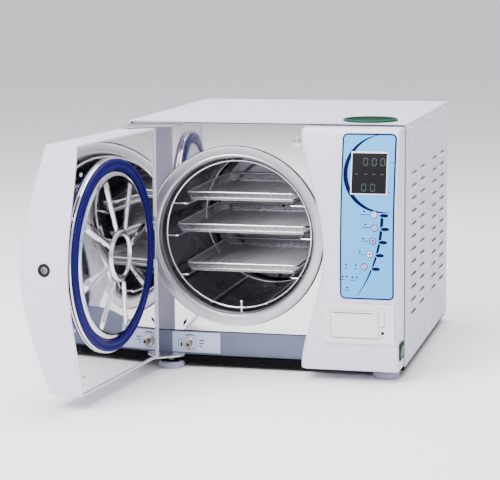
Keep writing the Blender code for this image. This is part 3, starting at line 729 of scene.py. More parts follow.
# ---------------------------------------------------------------- the swept front
@dataclass
class SweptFront:
    """The shallow arc that the door and the fascia share, and the seam's swing to the right."""

    arc_radius: float = 0.697
    arc_height: float = 0.201
    most: float = 0.075
    swell: float = 0.0385
    swell_height: float = 0.205
    swell_span: float = 0.18

    def depth(self, z: Array) -> Array:
        """Y of the front skin at a height: an arc of a large circle."""
        return -(self.most - (self.arc_radius - np.sqrt(self.arc_radius**2 - (z - self.arc_height) ** 2)))

    def seam(self, z: Array) -> Array:
        """How far the seam swings right at a height: a cosine to the power 1.5."""
        reach = np.minimum(1.0, np.abs(z - self.swell_height) / self.swell_span)
        return self.swell * np.maximum(np.cos(math.pi / 2 * reach), 0.0) ** 1.5

    def seam_side(self, start: float) -> Front:
        """A side that follows the seam from a starting place."""
        return lambda z: start + self.seam(z)

    def moulding(self, left: Front, right: Front, z: tuple[float, float], rear: float,
                 radii: tuple[float, float], inset: float = 0.0, ease: float = 2.5) -> Shape:
        """A front moulding: at each height a flat back and a front with two rounded corners.

        Args:
            left: left side at a height.
            right: right side at a height.
            z: bottom and top.
            rear: Y of its back.
            radii: rounding of the left and right front edge, in millimetres.
            inset: how far the skin is drawn in all round, for a hollow's inside, in millimetres.
            ease: rounding of its top and bottom edges, in millimetres.

        Returns:
            The shape.
        """
        inset, ease = inset * MM, ease * MM
        turn = np.linspace(0, math.pi / 2, 5)
        straight = np.linspace(z[0] + inset + ease, z[1] - inset - ease, 60)
        low = z[0] + inset + ease * (1 - np.sin(turn[::-1]))
        high = z[1] - inset - ease * (1 - np.sin(turn))
        levels = np.concatenate([low[:-1], straight, high[1:]])
        fall = ease * (1 - np.cos(turn))
        drawn = (np.concatenate([fall[::-1][:-1], 0 * straight, fall[1:]]) + inset)[:, None]
        zs = levels[:, None]
        x0, x1, y0 = left(zs) + drawn, right(zs) - drawn, self.depth(zs) + drawn
        r_left, r_right = [max(radius * MM - inset, 1 * MM) for radius in radii]
        arc = np.linspace(0, math.pi / 2, 9)[None, :]
        xs = np.hstack([x1, x1 - r_right + r_right * np.cos(arc), x0 + r_left - r_left * np.sin(arc), x0])
        back = 0 * x0 + rear
        ys = np.hstack([back, y0 + r_right - r_right * np.sin(arc), y0 + r_left - r_left * np.cos(arc),
                        back])
        return skin(np.stack([xs, ys, zs + 0 * xs], -1))


FRONT = SweptFront()
CHAMBER = cad("chamber_flange").at
AXIS = np.array([CHAMBER[0], 0.0, CHAMBER[2]])


# ---------------------------------------------------------------- cabinet
@dataclass
class Cabinet:
    """Sheet cover with pressed louvres, plates, label, screws, feet and back."""

    louvre_rows: int = 12
    louvre_top: float = 0.313
    louvre_pitch: float = 0.0203
    louvre_length: float = 0.056
    louvre_starts: tuple = (0.050, 0.140, 0.272, 0.364)
    hood_rise: float = 1.9 * MM
    hood_drop: float = 10.5 * MM
    hood_depth: float = 3.8 * MM
    hood_wall: float = 1.3 * MM
    side_screw_columns: tuple = (0.0445, 0.2335, 0.4225)
    side_screw_levels: tuple = (0.3905, 0.3750, 0.0333)
    rear_screws: tuple = tuple((x, z) for x in (-0.205, 0.0, 0.205) for z in (0.032, 0.382)) + (
        (-0.205, 0.207), (0.205, 0.207))
    foot_top: float = 0.0102
    guard_rings: tuple = (0.010, 0.021, 0.032, 0.042)
    rating_lines: int = 5

    def build(self) -> None:
        """Builds and dresses everything of the cabinet."""
        for finish, nodes in (
                (COVER, "outer_cover rear_panel"), (PAN, "base_pan"), (MIRROR, "front_plate"),
                (STRIP, "lower_trim_strip"), (LABEL, "valve_label_plate"), (LAGGING, "vessel_lagging"),
                (SATIN, "hinge_plate_upper hinge_plate_lower door_switch steam_generator lock_bolt"),
                (DARK_STEEL, "vessel_saddle vacuum_pump lock_actuator"),
                (NICKEL, "valve_manifold safety_valve"), (TANK, "clean_water_tank waste_water_tank"),
                (BLACK, "fan_housing fan_rotor power_inlet"), (BOARD, "control_board")):
            dress(finish, nodes)
        self.louvres()
        self.side_screws()
        self.feet()
        self.filler_cap()
        self.drain()
        self.plate_details()
        self.fan_guard()
        self.back()

    def hood(self) -> Array:
        """One louvre's hood, as a grid (u, ring, 3) at the cover's right side.

        Outward it swells as a flattened sine along its length and falls as a cosine down
        its height; the inner skin is the same surface drawn in by the sheet's thickness.

        Returns:
            The grid.
        """
        u = np.linspace(0, 1, 15)[:, None]
        v = np.linspace(0, 1, 8)[None, :]
        swell = np.sin(math.pi * np.clip(u, 0.004, 0.996)) ** 0.4
        out = self.hood_depth * swell * np.cos(v * math.pi / 2) ** 0.7
        z = self.hood_rise - self.hood_drop * v * swell
        outer = np.stack([cad("outer_cover").high[0] + out, self.louvre_length * u + 0 * v, z], -1)
        inner = outer - np.array([self.hood_wall, 0, 0])
        return np.concatenate([outer, inner[:, ::-1]], 1)

    def louvres(self) -> None:
        """Both sides' louvre hoods, each hood's grid set down at its row and column."""
        hood = skin(self.hood())
        right = together([hood.moved(0, start, self.louvre_top - self.louvre_pitch * row)
                          for start in self.louvre_starts for row in range(self.louvre_rows)])
        add_piece("louvre_hoods_right", right, COVER)
        add_piece("louvre_hoods_left", right.mirrored(), COVER)

    def side_screws(self) -> None:
        """Pan heads along the top and foot of both sides."""
        side = cad("outer_cover").high[0]
        heads = together([pan_head((side, y, z), "X", 4.2)
                          for y in self.side_screw_columns for z in self.side_screw_levels])
        add_piece("side_screws_right", heads, BRIGHT)
        add_piece("side_screws_left", heads.mirrored(), BRIGHT)

    def feet(self) -> None:
        """Four rubber feet with a waist; those at the front stand on a levelling stem."""
        for node, body in (("foot_front_left", "left_levelling_foot"),
                           ("foot_front_right", "right_levelling_foot"), ("foot_rear_left", "cabinet"),
                           ("foot_rear_right", "cabinet")):
            foot = cad(node)
            radius, top = foot.radius, min(foot.high[2], self.foot_top)
            outline = [(0, 0.4 * MM), (0.5 * radius, 0.4 * MM), (0.6 * radius, 0), (radius - 0.4 * MM, 0),
                       (radius, 3 * MM), (radius - 0.6 * MM, top - 2.2 * MM), (radius - 2.4 * MM, top),
                       (0.4 * radius, top)]
            if body != "cabinet":
                neck = top + 0.2 * MM
                outline += [(0.36 * radius, neck), (0.2 * radius, neck), (0.2 * radius, foot.high[2])]
            outline.append((0, outline[-1][1]))
            turned(f"{node}_rubber", outline, (*foot.at[:2], 0), "Z", 56, FOOT, 1.0, body=body,
                   stands_for=node)

    def filler_cap(self) -> None:
        """The green filler cap: a dished top, and a rim in a paler green that is painted highlight."""
        cap, lid = cad("filler_cap"), cad("outer_cover").high[2]
        radius, top, centre = cap.radius, cap.high[2], (*cap.at[:2], 0)
        dish = [(0, 0.384), (0.80 * radius, 0.384), (0.86 * radius, lid), (0.90 * radius, lid + 0.6 * MM)]
        dish += profile([(0.90, -0.8), (0.84, -1.6), (0.80, -2.6), (0.30, -2.8), (0.26, -1.8), (0, -1.8)],
                        top, radius)
        turned("filler_cap_dish", dish, centre, "Z", 96, CAP_GREEN, 0.8, body="cap",
               stands_for="filler_cap")
        rim = profile([(0.905, 0.3), (1, 0.3)], lid, radius)
        rim += profile([(1, -1.2), (0.97, 0), (0.905, 0)], top, radius)
        # The rim's paler green is painted highlight.
        turned("filler_cap_rim", rim, centre, "Z", 96, CAP_RIM_HIGHLIGHT, 0.6, ring=True, body="cap")

    def drain(self) -> None:
        """Drain fitting: a collar and a hollow nozzle, both turned, with a small lever."""
        valve, tip = cad("drain_valve_body"), cad("drain_valve_nozzle").low[1]
        at, face = valve.at, valve.low[1]
        centre = (at[0], 0, at[2])
        collar = profile([(4.2, 0), (8.6, 0), (9.9, 1.2), (9.9, 4.4), (8, 4.8)], face)
        turned("drain_collar", collar + profile([(8, 0), (4.2, 0)], 0.045), centre, "Y", 48, SATIN, 0.6,
               ring=True, stands_for="drain_valve_body")
        nozzle = profile([(0, 0), (3.9, 0)], 0.035) + profile([(3.9, 0), (4.9, -0.3)], face)
        nozzle += profile([(4.9, 4), (4.2, 3.4), (4.2, 2.6), (4.9, 2), (4.9, 0.8), (4.2, 0), (2.4, 0),
                           (2.1, 0.6), (2.1, 9), (0, 9)], tip)
        lever = block((at[0] - 1.4 * MM, tip + 4.4 * MM, at[2] - 8.6 * MM),
                      (at[0] + 1.4 * MM, tip + 6.4 * MM, at[2] - 4.4 * MM))
        spout = lathe(filleted(nozzle, 0.3 * MM, 2), centre, "Y", 40)
        add_piece("drain_nozzle_turned", spout + lever, NICKEL, "drain_nozzle", "drain_valve_nozzle")

    def plate_details(self) -> None:
        """Generic marks on the drain's label plate, and the door switch's dimple."""
        face, lift = flat(cad("valve_label_plate").low[1]), (-0.05, 0.12)
        at = cad("drain_valve_body").at[[0, 2]]
        sweep = np.radians(np.linspace(55, 125, 16))
        arrow = at + np.stack([14.5 * np.cos(sweep), 14.0 * np.sin(sweep)], 1) * MM
        marks = [stroke(face, arrow, 1.6 * np.sin(np.linspace(0.5, 2.6, 16)), lift)]
        lines = [([(15.5, 5 - 5 * row), (15.5 + length, 5 - 5 * row)], 1.5)
                 for row, length in enumerate((8.5, 7, 4.5))]
        lines += [([(-19.5, 5), (-11.5, 5)], 0.7), ([(-19.5, 5), (-19.5, -5)], 0.7),
                  ([(-14.5, 1), (-14.5, -6)], 2.6)]
        marks += [stroke(face, at + np.array(ends) * MM, width, lift) for ends, width in lines]
        add_piece("label_marks", together(marks), BLACK)
        switch = cad("door_switch").at
        dimple = profile([(5.6, -0.1), (7.2, -0.1), (7.0, -0.8), (5.8, -0.9)], cad("front_plate").low[1])
        turned("switch_dimple", dimple, (switch[0], 0, switch[2]), "Y", 40, MIRROR, ring=True)

    def fan_guard(self) -> None:
        """The fan's guard: wire rings joined by four spokes."""
        rear, fan = cad("rear_panel").high[1], cad("fan_housing").at
        guard = [wire_hoop((fan[0], rear + 2.2 * MM, fan[2]), radius, 0.9 * MM, 64, 8)
                 for radius in self.guard_rings]
        reach = np.linspace(0.009, 0.047, 6)
        for angle in np.radians((45, 135, 225, 315)):
            spoke = on_axis("Y", reach * math.cos(angle), reach * math.sin(angle), 0 * reach)
            guard.append(tube(spoke + np.array([fan[0], rear + 1.4 * MM, fan[2]]), 1.0 * MM, (0, 1, 0), 8))
        add_piece("fan_guard", together(guard), SATIN)

    def back(self) -> None:
        """Screws, mains pins and a rating plate with generic lines on the rear panel."""
        rear, inlet = cad("rear_panel").high[1], cad("power_inlet")
        x, z = inlet.at[[0, 2]]
        heads = [pan_head((across, rear, up), "Y") for across, up in self.rear_screws]
        heads += [pan_head((x + side * 20.5 * MM, inlet.high[1], z), "Y", 2.4) for side in (-1, 1)]
        add_piece("rear_screws", together(heads), SATIN)
        pins = [block((x + (dx - 1) * MM, 0.4485, z + (dz - 2) * MM),
                      (x + (dx + 1) * MM, 0.460, z + (dz + 2) * MM))
                for dx, dz in ((-7, -1.5), (7, -1.5), (0, 2))]
        add_piece("inlet_pins", together(pins), SATIN)
        plate = panel(flat(0), (-0.060, 0.020), (0.060, 0.112), (-0.1, 0.4), 3)
        add_piece("rating_plate", Shape(plate.points * np.array([1, -1, 1]), plate.faces).moved(y=rear),
                  LABEL)
        rows = []
        for i in range(self.rating_lines):
            low, length = 0.066 + 0.008 * i, 0.012 * (3 + (i * 2) % 3)
            rows.append(block((-0.054, rear + 0.4 * MM, low),
                              (-0.054 + length, rear + 0.6 * MM, low + 3 * MM), 0.05 * MM))
        add_piece("rating_marks", together(rows), BLACK)


# ---------------------------------------------------------------- chamber
@dataclass
class Chamber:
    """Flange, vessel, wire rack and the three mesh trays."""

    bore: float = 0.1245
    end_wall: float = 0.3335
    port_face: float = 0.3300
    ports: tuple = ((-0.097, 0.1393), (-0.0474, 0.2213), (-0.020, 0.262))
    well: tuple = (-0.058, 0, 0.108)
    wire: float = 1.5 * MM
    skid_offset: float = 0.045
    mesh_wire: float = 0.55 * MM
    mesh_pitch: float = 11.5 * MM
    side_pitch: float = 7.7 * MM
    tray_lean: float = 9.0 * MM

    def build(self) -> None:
        """Builds the chamber from its flange inwards."""
        self.flange_and_vessel()
        self.fittings()
        self.rack()
        for level in ("upper", "middle", "lower"):
            self.tray(f"tray_{level}", f"{level}_tray")

    def flange_and_vessel(self) -> None:
        """The machined flange and the drawn vessel, both turned about the chamber's axis."""
        flange, back, wall = cad("chamber_flange"), self.end_wall, self.bore
        face, outer = flange.low[1], flange.radius
        ring = profile([(128.5, 0), (130.0, -0.3), (131.2, 0.4)], face)
        ring += [(outer - 1.6 * MM, face + 0.4 * MM), (outer - 0.6 * MM, face - 0.2 * MM),
                 (outer, face + 0.8 * MM), (outer, 0.0238)]
        ring += profile([(124.5, 23.8), (124.5, 12.5), (126.2, 10), (126.2, 7.5), (128.5, 6)])
        turned("flange_ring", ring, AXIS, "Y", 160, RING, 0.5, 2, True, stands_for="chamber_flange")
        outside = wall + 2.3 * MM
        vessel = [(0, back + 2 * MM), (0.108, back + 2 * MM), (outside, 0.324), (outside, 0.0243),
                  (wall, 0.0243), (wall, 0.3180), (wall - 3 * MM, 0.3290),
                  (wall - 10 * MM, back - 0.2 * MM), (0.1130, back), (0.1130, back + 0.8 * MM),
                  (0, back + 0.8 * MM)]
        # The vessel wall's near-black steel colour is painted shade inside the chamber.
        turned("vessel_wall", vessel, AXIS, "Y", 160, VESSEL_PAINTED_SHADE, stands_for="chamber_vessel")
        end = profile([(0, 0.6), (112.6, 0.6), (112.6, -0.4), (94, -0.6), (90, -3), (30, -4), (0, -4)],
                      back)
        turned("vessel_end_wall", end, AXIS, "Y", 160, BACK_WALL, 2.0)

    def fittings(self) -> None:
        """Ports with black discs in their bores as painted shade, a copper probe well and a seam on the end
        wall, and the ball-topped pin.
        """
        face = self.port_face
        seam = block((-0.1185, face - 0.6 * MM, 0.150), (-0.1150, face + 0.4 * MM, 0.262), 0.4 * MM)
        collar = profile([(2.4, 2), (5, 2), (5, -1.4), (2.8, -1.4)], face)
        collars = [lathe(collar, (x, 0, z), "Y", 28, True) for x, z in self.ports]
        add_piece("end_wall_ports", together([seam, *collars]), SATIN)
        # Black discs fill the ports' bores as painted shade.
        bore_shadows = [drum(2.5 * MM, (face + 1 * MM, face - 0.6 * MM), (x, 0, z), "Y", 20)
                 for x, z in self.ports]
        add_piece("port_bore_shadows", together(bore_shadows), BLACK)
        well = profile([(0, 0), (6, 0), (6, -4), (3.2, -6), (3.2, -22), (2, -25), (0, -25)], face)
        turned("copper_well", well, self.well, "Y", 28, COPPER, 1.0)
        probe = cad("temperature_probe")
        ball = [(3 * math.sin(a), -3 - 3 * math.cos(a)) for a in np.linspace(0.55, math.pi, 14)]
        pin = profile([(0, 0), (1.6, 0)], probe.low[2]) + profile(ball, probe.high[2])
        turned("probe_pin", pin, (*probe.at[:2], 0), "Z", 24, BRIGHT, stands_for="temperature_probe")

    def rack(self) -> None:
        """The wire rack: two hoops, six bent runners and two skids."""
        rack = cad("wire_rack")
        hoop, front, rear = rack.radius - 2 * MM, rack.low[1] + 3 * MM, rack.high[1] - 3 * MM
        wires = [wire_hoop((AXIS[0], y, AXIS[2]), hoop, self.wire, 120, 12) for y in (front, rear)]
        for offset, tray in ((0.083, "tray_upper"), (0.100, "tray_middle"), (0.084, "tray_lower")):
            z = cad(tray).low[2] - 1.9 * MM
            reach = math.sqrt(hoop**2 - (z - AXIS[2]) ** 2)
            for side in (-1, 1):
                ends, turns = side * reach, side * offset
                bend = np.array(filleted([(ends, front), (turns, front), (turns, rear), (ends, rear)],
                                         5 * MM, 6))
                path = np.column_stack([AXIS[0] + bend[:, 0], bend[:, 1], np.full(len(bend), z)])
                wires.append(tube(path, self.wire, (0, 0, 1)))
        y = np.linspace(front - 3 * MM, rear + 3 * MM, 8)
        foot = AXIS[2] - math.sqrt(hoop**2 - self.skid_offset**2)
        for side in (-1, 1):
            path = np.stack([0 * y + AXIS[0] + side * self.skid_offset, y, 0 * y + foot], 1)
            wires.append(tube(path, self.wire, (0, 0, 1)))
        add_piece("rack_wires", together(wires), BRIGHT, stands_for="wire_rack", crease=60)

    def tray(self, node: str, body: str) -> None:
        """A tray of welded wire: a round-cornered rim, a belt, and mesh bent up into its walls.

        Args:
            node: the CAD tray that it stands for.
            body: the body that slides.
        """
        low, high = cad(node).low, cad(node).high
        floor, rim, lean = low[2] + self.mesh_wire, high[2] - self.wire, self.tray_lean
        hoops = []
        for z, inset, radius, thick in ((rim, self.wire, 9, self.wire),
                                        (floor + 5 * MM, 6 * MM, 7, 0.9 * MM)):
            outline = rounded((low[0] + inset, high[0] - inset), (low[1] + inset, high[1] - inset),
                              radius * MM, 6)
            path = np.column_stack([outline, np.full(len(outline), z)])
            hoops.append(tube(path, thick, (0, 0, 1), 10, True))
        wires = []
        for axis, pitch, normal in ((0, self.mesh_pitch, (1, 0, 0)), (1, self.side_pitch, (0, 1, 0))):
            other, lift = 1 - axis, floor + self.mesh_wire * (1 + axis)
            a, b = low[other] + self.wire, high[other] - self.wire
            bend = np.array(filleted([(a, rim), (a + lean, lift), (b - lean, lift), (b, rim)], 3 * MM, 3))
            count = int(round((high[axis] - low[axis] - 2 * lean) / pitch))
            for place in np.linspace(low[axis] + lean, high[axis] - lean, count + 1):
                path = np.zeros((len(bend), 3))
                path[:, other], path[:, 2], path[:, axis] = bend[:, 0], bend[:, 1], place
                wires.append(tube(path, self.mesh_wire, normal, 6))
        add_piece(f"{node}_mesh", together(wires), MESH, body, node, crease=80)
        add_piece(f"{node}_rim", together(hoops), BRIGHT, body, crease=80)


# ---------------------------------------------------------------- door
def mirror_face() -> float:
    """Finds where the mirror plate's face stands with the door shut, from the CAD plate turned back.

    Returns:
        Its Y.
    """
    mesh = frame["nodes"]["door_mirror_plate"].data
    points = np.zeros(len(mesh.vertices) * 3)
    mesh.vertices.foreach_get("co", points)
    offset = points.reshape(-1, 3) - SHIFT - PIVOT
    shut_y = offset[:, 0] * math.sin(DOOR_OPEN) + offset[:, 1] * math.cos(DOOR_OPEN)
    return float(shut_y.max() + PIVOT[1])


@dataclass
class Door:
    """The swept door: shell, mirror plate, ribbed disc, gasket, lock socket, screws.

    The wall and the edge radii are in millimetres.
    """

    left: float = -0.2205
    right: float = 0.0630
    levels: tuple = (0.0237, 0.3885)
    rear: float = -0.003
    proud: float = 6 * MM
    wall: float = 2.5
    edge_radii: tuple = (9, 9)
    notch_half: float = 0.035
    ribs: int = 8
    rib_turn: float = 0.847
    rib_height: float = 3.2 * MM
    rib_half_width: float = 5.5 * MM
    screw_places: tuple = ((0.045, 0.345), (0.050, 0.050), (0.075, 0.285), (0.078, 0.125), (-0.208, 0.372),
                           (-0.208, 0.044))

    def build(self) -> None:
        """Builds and dresses the door."""
        self.shell()
        dress(MIRROR, "door_mirror_plate")
        dress(SATIN, "disc_spindle")
        self.disc()
        self.gasket()
        self.socket()
        heads = [pan_head((x, mirror_face(), z), "Y", 3.0) for x, z in self.screw_places]
        add_piece("mirror_plate_screws", together(heads), SATIN, "door", swing=True)

    def shell(self) -> None:
        """The hollow moulding, with its side notch, pin holes and the socket's hole."""
        left, right = flat(self.left), FRONT.seam_side(self.right)
        front = SweptFront(most=FRONT.most + self.proud)
        outer = front.moulding(left, right, self.levels, self.rear, self.edge_radii)
        inner = front.moulding(left, right, self.levels, self.rear + 0.02, self.edge_radii, self.wall, 1)
        lock = cad("lock_actuator").at
        holes = [drum(4.3 * MM, (z - 0.01, z + 0.01), (*PIVOT[:2], 0), "Z", 32) for z in self.levels]
        holes.append(drum(9.7 * MM, (0.09, 0.12), (0, lock[1], lock[2]), "X", 48))
        notch = block((self.left - 0.01, mirror_face(), AXIS[2] - self.notch_half),
                      (self.left + (self.wall + 0.3) * MM, 0.01, AXIS[2] + self.notch_half), 0.1 * MM)
        add_piece("door_moulding", carved(outer, [inner, *holes, notch]), MOULDING, "door", "door_shell",
                  swing=True)

    def disc(self) -> None:
        """The pressed steel disc: a turned profile with raised ribs over its face.

        A rib stands up as a rounded bar, 1 - (w / half width) squared across it, and fades
        in and out along its length; the ribs' heads are broader towards the rim.
        """
        angle = around(288)[None, :]
        radius = np.linspace(0.6, 126.2, 128)[:, None] * MM
        face = np.interp(radius, np.array([0, 30, 32.5, 35.2, 38.5, 80, 119, 124, 126.2]) * MM,
                         np.array([10, 10, 13.3, 13.3, 9.6, 5.6, 2.2, 1, -1]) * MM)
        phase = (angle / (2 * math.pi) * self.ribs + self.rib_turn) % 1.0 - 0.5
        aside = radius * phase * 2 * math.pi / self.ribs
        half = self.rib_half_width * (0.62 + 0.42 * radius / 0.1)
        bar = np.clip(1 - (aside / half) ** 2, 0, 1) ** 0.5
        ends = np.clip((radius - 0.040) / 0.006, 0, 1) * np.clip((0.1150 - radius) / 0.007, 0, 1)
        rim = np.array(profile([(126.5, -1.5), (144, -1.5), (145.5, -1.8), (146.3, -2.6), (146.3, -4.2),
                                (145.2, -5), (140, -5.3), (0.6, -5.3)]))
        radii = np.vstack([radius, rim[:, :1]])
        depth = np.vstack([face + self.rib_height * bar * np.sqrt(ends), rim[:, 1:] + 0 * angle])
        grid = on_axis("Y", radii * np.cos(angle), radii * np.sin(angle), depth) + AXIS
        add_piece("disc_pressing", skin(grid), MIRROR, "door", "pressure_disc", swing=True, crease=50)

    def gasket(self) -> None:
        """The silicone gasket: a turned section with two soft lips."""
        section = profile([(127.8, -1.2), (127.8, 2.2), (130.0, 3.4), (132.5, 3.4), (134.0, 2.4),
                           (137.2, 2.4), (138.8, 3.4), (141.6, 3.4), (143.8, 2.0), (143.8, -1.2)])
        turned("gasket_ring", section, AXIS, "Y", 160, GASKET, 0.9, 3, True, body="door",
               stands_for="door_gasket", swing=True, crease=60)

    def socket(self) -> None:
        """The black lock socket in the door's free edge, with its steel cup."""
        lock = cad("lock_actuator").at
        seam, centre = self.right + float(FRONT.seam(lock[2])), (0, lock[1], lock[2])
        ring = profile([(5.2, -12), (9.3, -12), (9.3, 0.1), (9.8, 0.2), (9.2, 1.1), (5.8, 1.1), (5.2, 0)],
                       seam)
        turned("socket_ring", ring, centre, "X", 48, BLACK, 0.3, 2, True, body="door",
               stands_for="lock_socket", swing=True)
        cup = profile([(0, -13), (5, -13), (5, -0.4), (4.3, -0.4), (4.3, -11.5), (0, -11.5)], seam)
        turned("socket_cup", cup, centre, "X", 40, SATIN, 0.3, 2, body="door", swing=True)


# ---------------------------------------------------------------- control fascia
@dataclass
class Fascia:
    """The control fascia: moulding, membrane overlay, display, keys, printer and rocker.

    The wall, edge radii, lifts and lengths of small lines are in millimetres.
    """

    left: float = 0.0668
    right: float = 0.2208
    levels: tuple = (0.0185, 0.3930)
    edge_radii: tuple = (10, 5)
    wall: float = 3.0
    groove: tuple = (0.095, 0.1215, 0.2075)
    overlay_x: tuple = (0.1335, 0.2165)
    overlay_z: tuple = (0.1360, 0.3870)
    skin_lift: float = 1.1
    print_lift: tuple = (1.0, 1.22)
    lenses: tuple = ((0.2009, 0.2654), (0.2025, 0.2448), (0.1996, 0.2248), (0.1950, 0.2048),
                     (0.1890, 0.1838))
    lamps: tuple = ((0.1703, 0.2714), (0.1726, 0.2516), (0.1696, 0.2301), (0.1643, 0.2099),
                    (0.1434, 0.1892), (0.1581, 0.1892), (0.1380, 0.1708), (0.1439, 0.1707),
                    (0.1528, 0.1702), (0.1597, 0.1704), (0.1450, 0.1536))
    small_lines: tuple = ((0.1715, 0.2662, 14), (0.1745, 0.2468, 12), (0.1720, 0.2262, 10),
                          (0.1662, 0.2062, 11), (0.1434, 0.1842, 6), (0.1581, 0.1842, 5),
                          (0.1385, 0.1660, 6), (0.1530, 0.1655, 6), (0.1450, 0.1490, 8),
                          (0.2105, 0.3440, 5), (0.2090, 0.3220, 2.5), (0.2085, 0.2995, 5))
    zeros: tuple = ((0.1707, 0.3450), (0.1838, 0.3450), (0.1967, 0.3450), (0.1690, 0.3070),
                    (0.1826, 0.3070))
    dashes: tuple = ((0.1571, 0.3268), (0.1714, 0.3268), (0.1838, 0.3268), (0.1962, 0.3268))

    def build(self) -> None:
        """Builds the fascia from its moulding outwards."""
        self.moulding()
        self.overlay()
        self.artwork()
        self.display()
        self.keys()
        self.printer()
        self.paper_and_feed()
        self.power_switch()

    def moulding(self) -> None:
        """The fascia's moulding with the printer's bay, key holes, bolt hole and a groove cut out."""
        left, right = FRONT.seam_side(self.left), flat(self.right)
        outer = FRONT.moulding(left, right, self.levels, -0.004, self.edge_radii)
        inner = FRONT.moulding(left, right, self.levels, 0.02, self.edge_radii, self.wall, 1)
        bolt, (x0, x1, z) = cad("lock_bolt").at, self.groove
        groove = block((x0, -0.09, z - 0.5 * MM), (x1, float(FRONT.depth(z)) + 1 * MM, z + 0.5 * MM),
                       0.1 * MM)
        cutters = [inner, self.opening("printer_flap"), self.opening("flap_release_lever"),
                   *self.key_holes(), self.feed_hole(),
                   drum(4.6 * MM, (0.09, 0.12), (0, bolt[1], bolt[2]), "X", 32), groove]
        add_piece("fascia_moulding_front", carved(outer, cutters), MOULDING, stands_for="control_fascia")

    def key_holes(self) -> list[Shape]:
        """A round hole for each key, a little wider than the key."""
        keys = [cad(f"key_{number}") for number in range(1, 6)]
        return [drum(key.radius + 0.3 * MM, (-0.095, -0.04), (key.at[0], 0, key.at[2]), "Y", 40)
                for key in keys]

    def feed_hole(self) -> Shape:
        """The feed key's round hole."""
        feed = cad("paper_feed_key").at
        return drum(2.5 * MM, (-0.09, -0.04), (feed[0], 0, feed[2]), "Y", 24)

    def opening(self, node: str) -> Shape:
        """The opening for a CAD node of the printer, with room below it to turn."""
        low, high = cad(node).low, cad(node).high
        return block((low[0] - 0.5 * MM, -0.09, low[2] - 1.2 * MM),
                     (high[0] + 0.5 * MM, -0.04, high[2] + 0.5 * MM), 0.1 * MM)

    def overlay(self) -> None:
        """The blue membrane and its navy border, both following the front's arc."""
        sheet = panel(FRONT.depth, self.overlay_x, self.overlay_z, (-0.1, self.skin_lift), 8)
        add_piece("membrane_sheet", carved(sheet, self.key_holes()), FILM, stands_for="membrane_overlay")
        (x0, x1), (z0, z1) = [(low + 1.2 * MM, high - 1.2 * MM)
                              for low, high in (self.overlay_x, self.overlay_z)]
        corners = rounded((x0, x1), (z0, z1), 7.5 * MM, 8)
        up = np.linspace(z0 + 7 * MM, z1 - 7 * MM, 40)
        path = np.vstack([corners[:18], np.column_stack([0 * up + x1, up]), corners[18:],
                          np.column_stack([0 * up + x0, up[::-1]])])
        along = np.roll(path, -1, 0) - np.roll(path, 1, 0)
        along /= np.maximum(np.linalg.norm(along, axis=1, keepdims=True), 1e-9)
        across = np.stack([-along[:, 1], along[:, 0]], 1) * 1.1 * MM
        border = ribbon(FRONT.depth, (path + across, path - across), self.print_lift, True)
        add_piece("membrane_border", border, NAVY)

    def artwork(self) -> None:
        """The crescent, its stem, the lens marks, indicator lamps and generic small print."""
        low, high = self.print_lift
        turn = np.radians(np.linspace(100.5, 281, 60))
        arc = np.stack([0.200 + 0.0600 * np.cos(turn), 0.328 + 0.0580 * np.sin(turn)], 1)
        swell = 6.6 * np.sin(np.linspace(0.06, math.pi - 0.06, 60)) ** 1.1
        crescent = stroke(FRONT.depth, arc, swell, (low, high))
        drop = np.linspace(0, 1, 40)
        stem = np.stack([0.1978 - 0.038 * drop**2.3, 0.2705 - 0.1300 * drop], 1)
        marks = [carved(crescent, self.key_holes()[:1]),
                 stroke(FRONT.depth, stem, 4.2 * (1 - drop**1.6) + 0.5, (low, high))]
        marks += [dot(FRONT.depth, at, (7.0, 2.9), (low, high + 0.25)) for at in self.lenses]
        add_piece("membrane_artwork", together(marks), NAVY)
        halos = [dot(FRONT.depth, at, (8.6, 4.2), (low, high + 0.10)) for at in self.lenses]
        add_piece("lens_surrounds", together(halos), FILM)
        lamps = [dot(FRONT.depth, at, (1.3, 1.3), (low, high + 0.3)) for at in self.lamps]
        add_piece("indicator_lamps", together(lamps), LAMP)
        prints = [stroke(FRONT.depth, [(x - length / 2 * MM, z), (x + length / 2 * MM, z)], 0.9,
                         (low, high))
                  for x, z, length in self.small_lines]
        add_piece("small_print_marks", together(prints), SMALL_PRINT)

    def display(self) -> None:
        """White bezel, dark window and dim seven-segment figures."""
        lift = self.skin_lift
        bezel = panel(FRONT.depth, (0.1483, 0.2045), (0.2962, 0.3603), (lift - 0.2, lift + 1.0), 0.8)
        add_piece("display_bezel", bezel, KEY_PALE)
        glass = panel(FRONT.depth, (0.1500, 0.2030), (0.2980, 0.3580), (lift + 0.4, lift + 1.4), 0.6)
        add_piece("display_glass_pane", glass, SCREEN, stands_for="display_window")
        bars = [self.segment(at, name) for at in self.zeros for name in "abcdef"]
        bars += [self.segment(at, "g") for at in self.dashes]
        add_piece("display_figures", together(bars), SEGMENT)

    def segment(self, at: tuple[float, float], name: str) -> Shape:
        """One bar of a seven-segment figure.

        Args:
            at: the figure's middle, across and up.
            name: "a" to "g", clockwise from the top, with "g" in the middle.

        Returns:
            The bar, as a short stroke.
        """
        w, h, gap = 3.0, 5.2, 0.6
        ends = {"a": ((gap - w, h), (w - gap, h)), "b": ((w, h - gap), (w, gap)),
                "c": ((w, -gap), (w, gap - h)), "d": ((gap - w, -h), (w - gap, -h)),
                "e": ((-w, -gap), (-w, gap - h)), "f": ((-w, h - gap), (-w, gap)),
                "g": ((gap - w, 0), (w - gap, 0))}[name]
        return stroke(FRONT.depth, np.array(ends) * MM + at, 1.0,
                      (self.skin_lift + 1.3, self.skin_lift + 1.5))

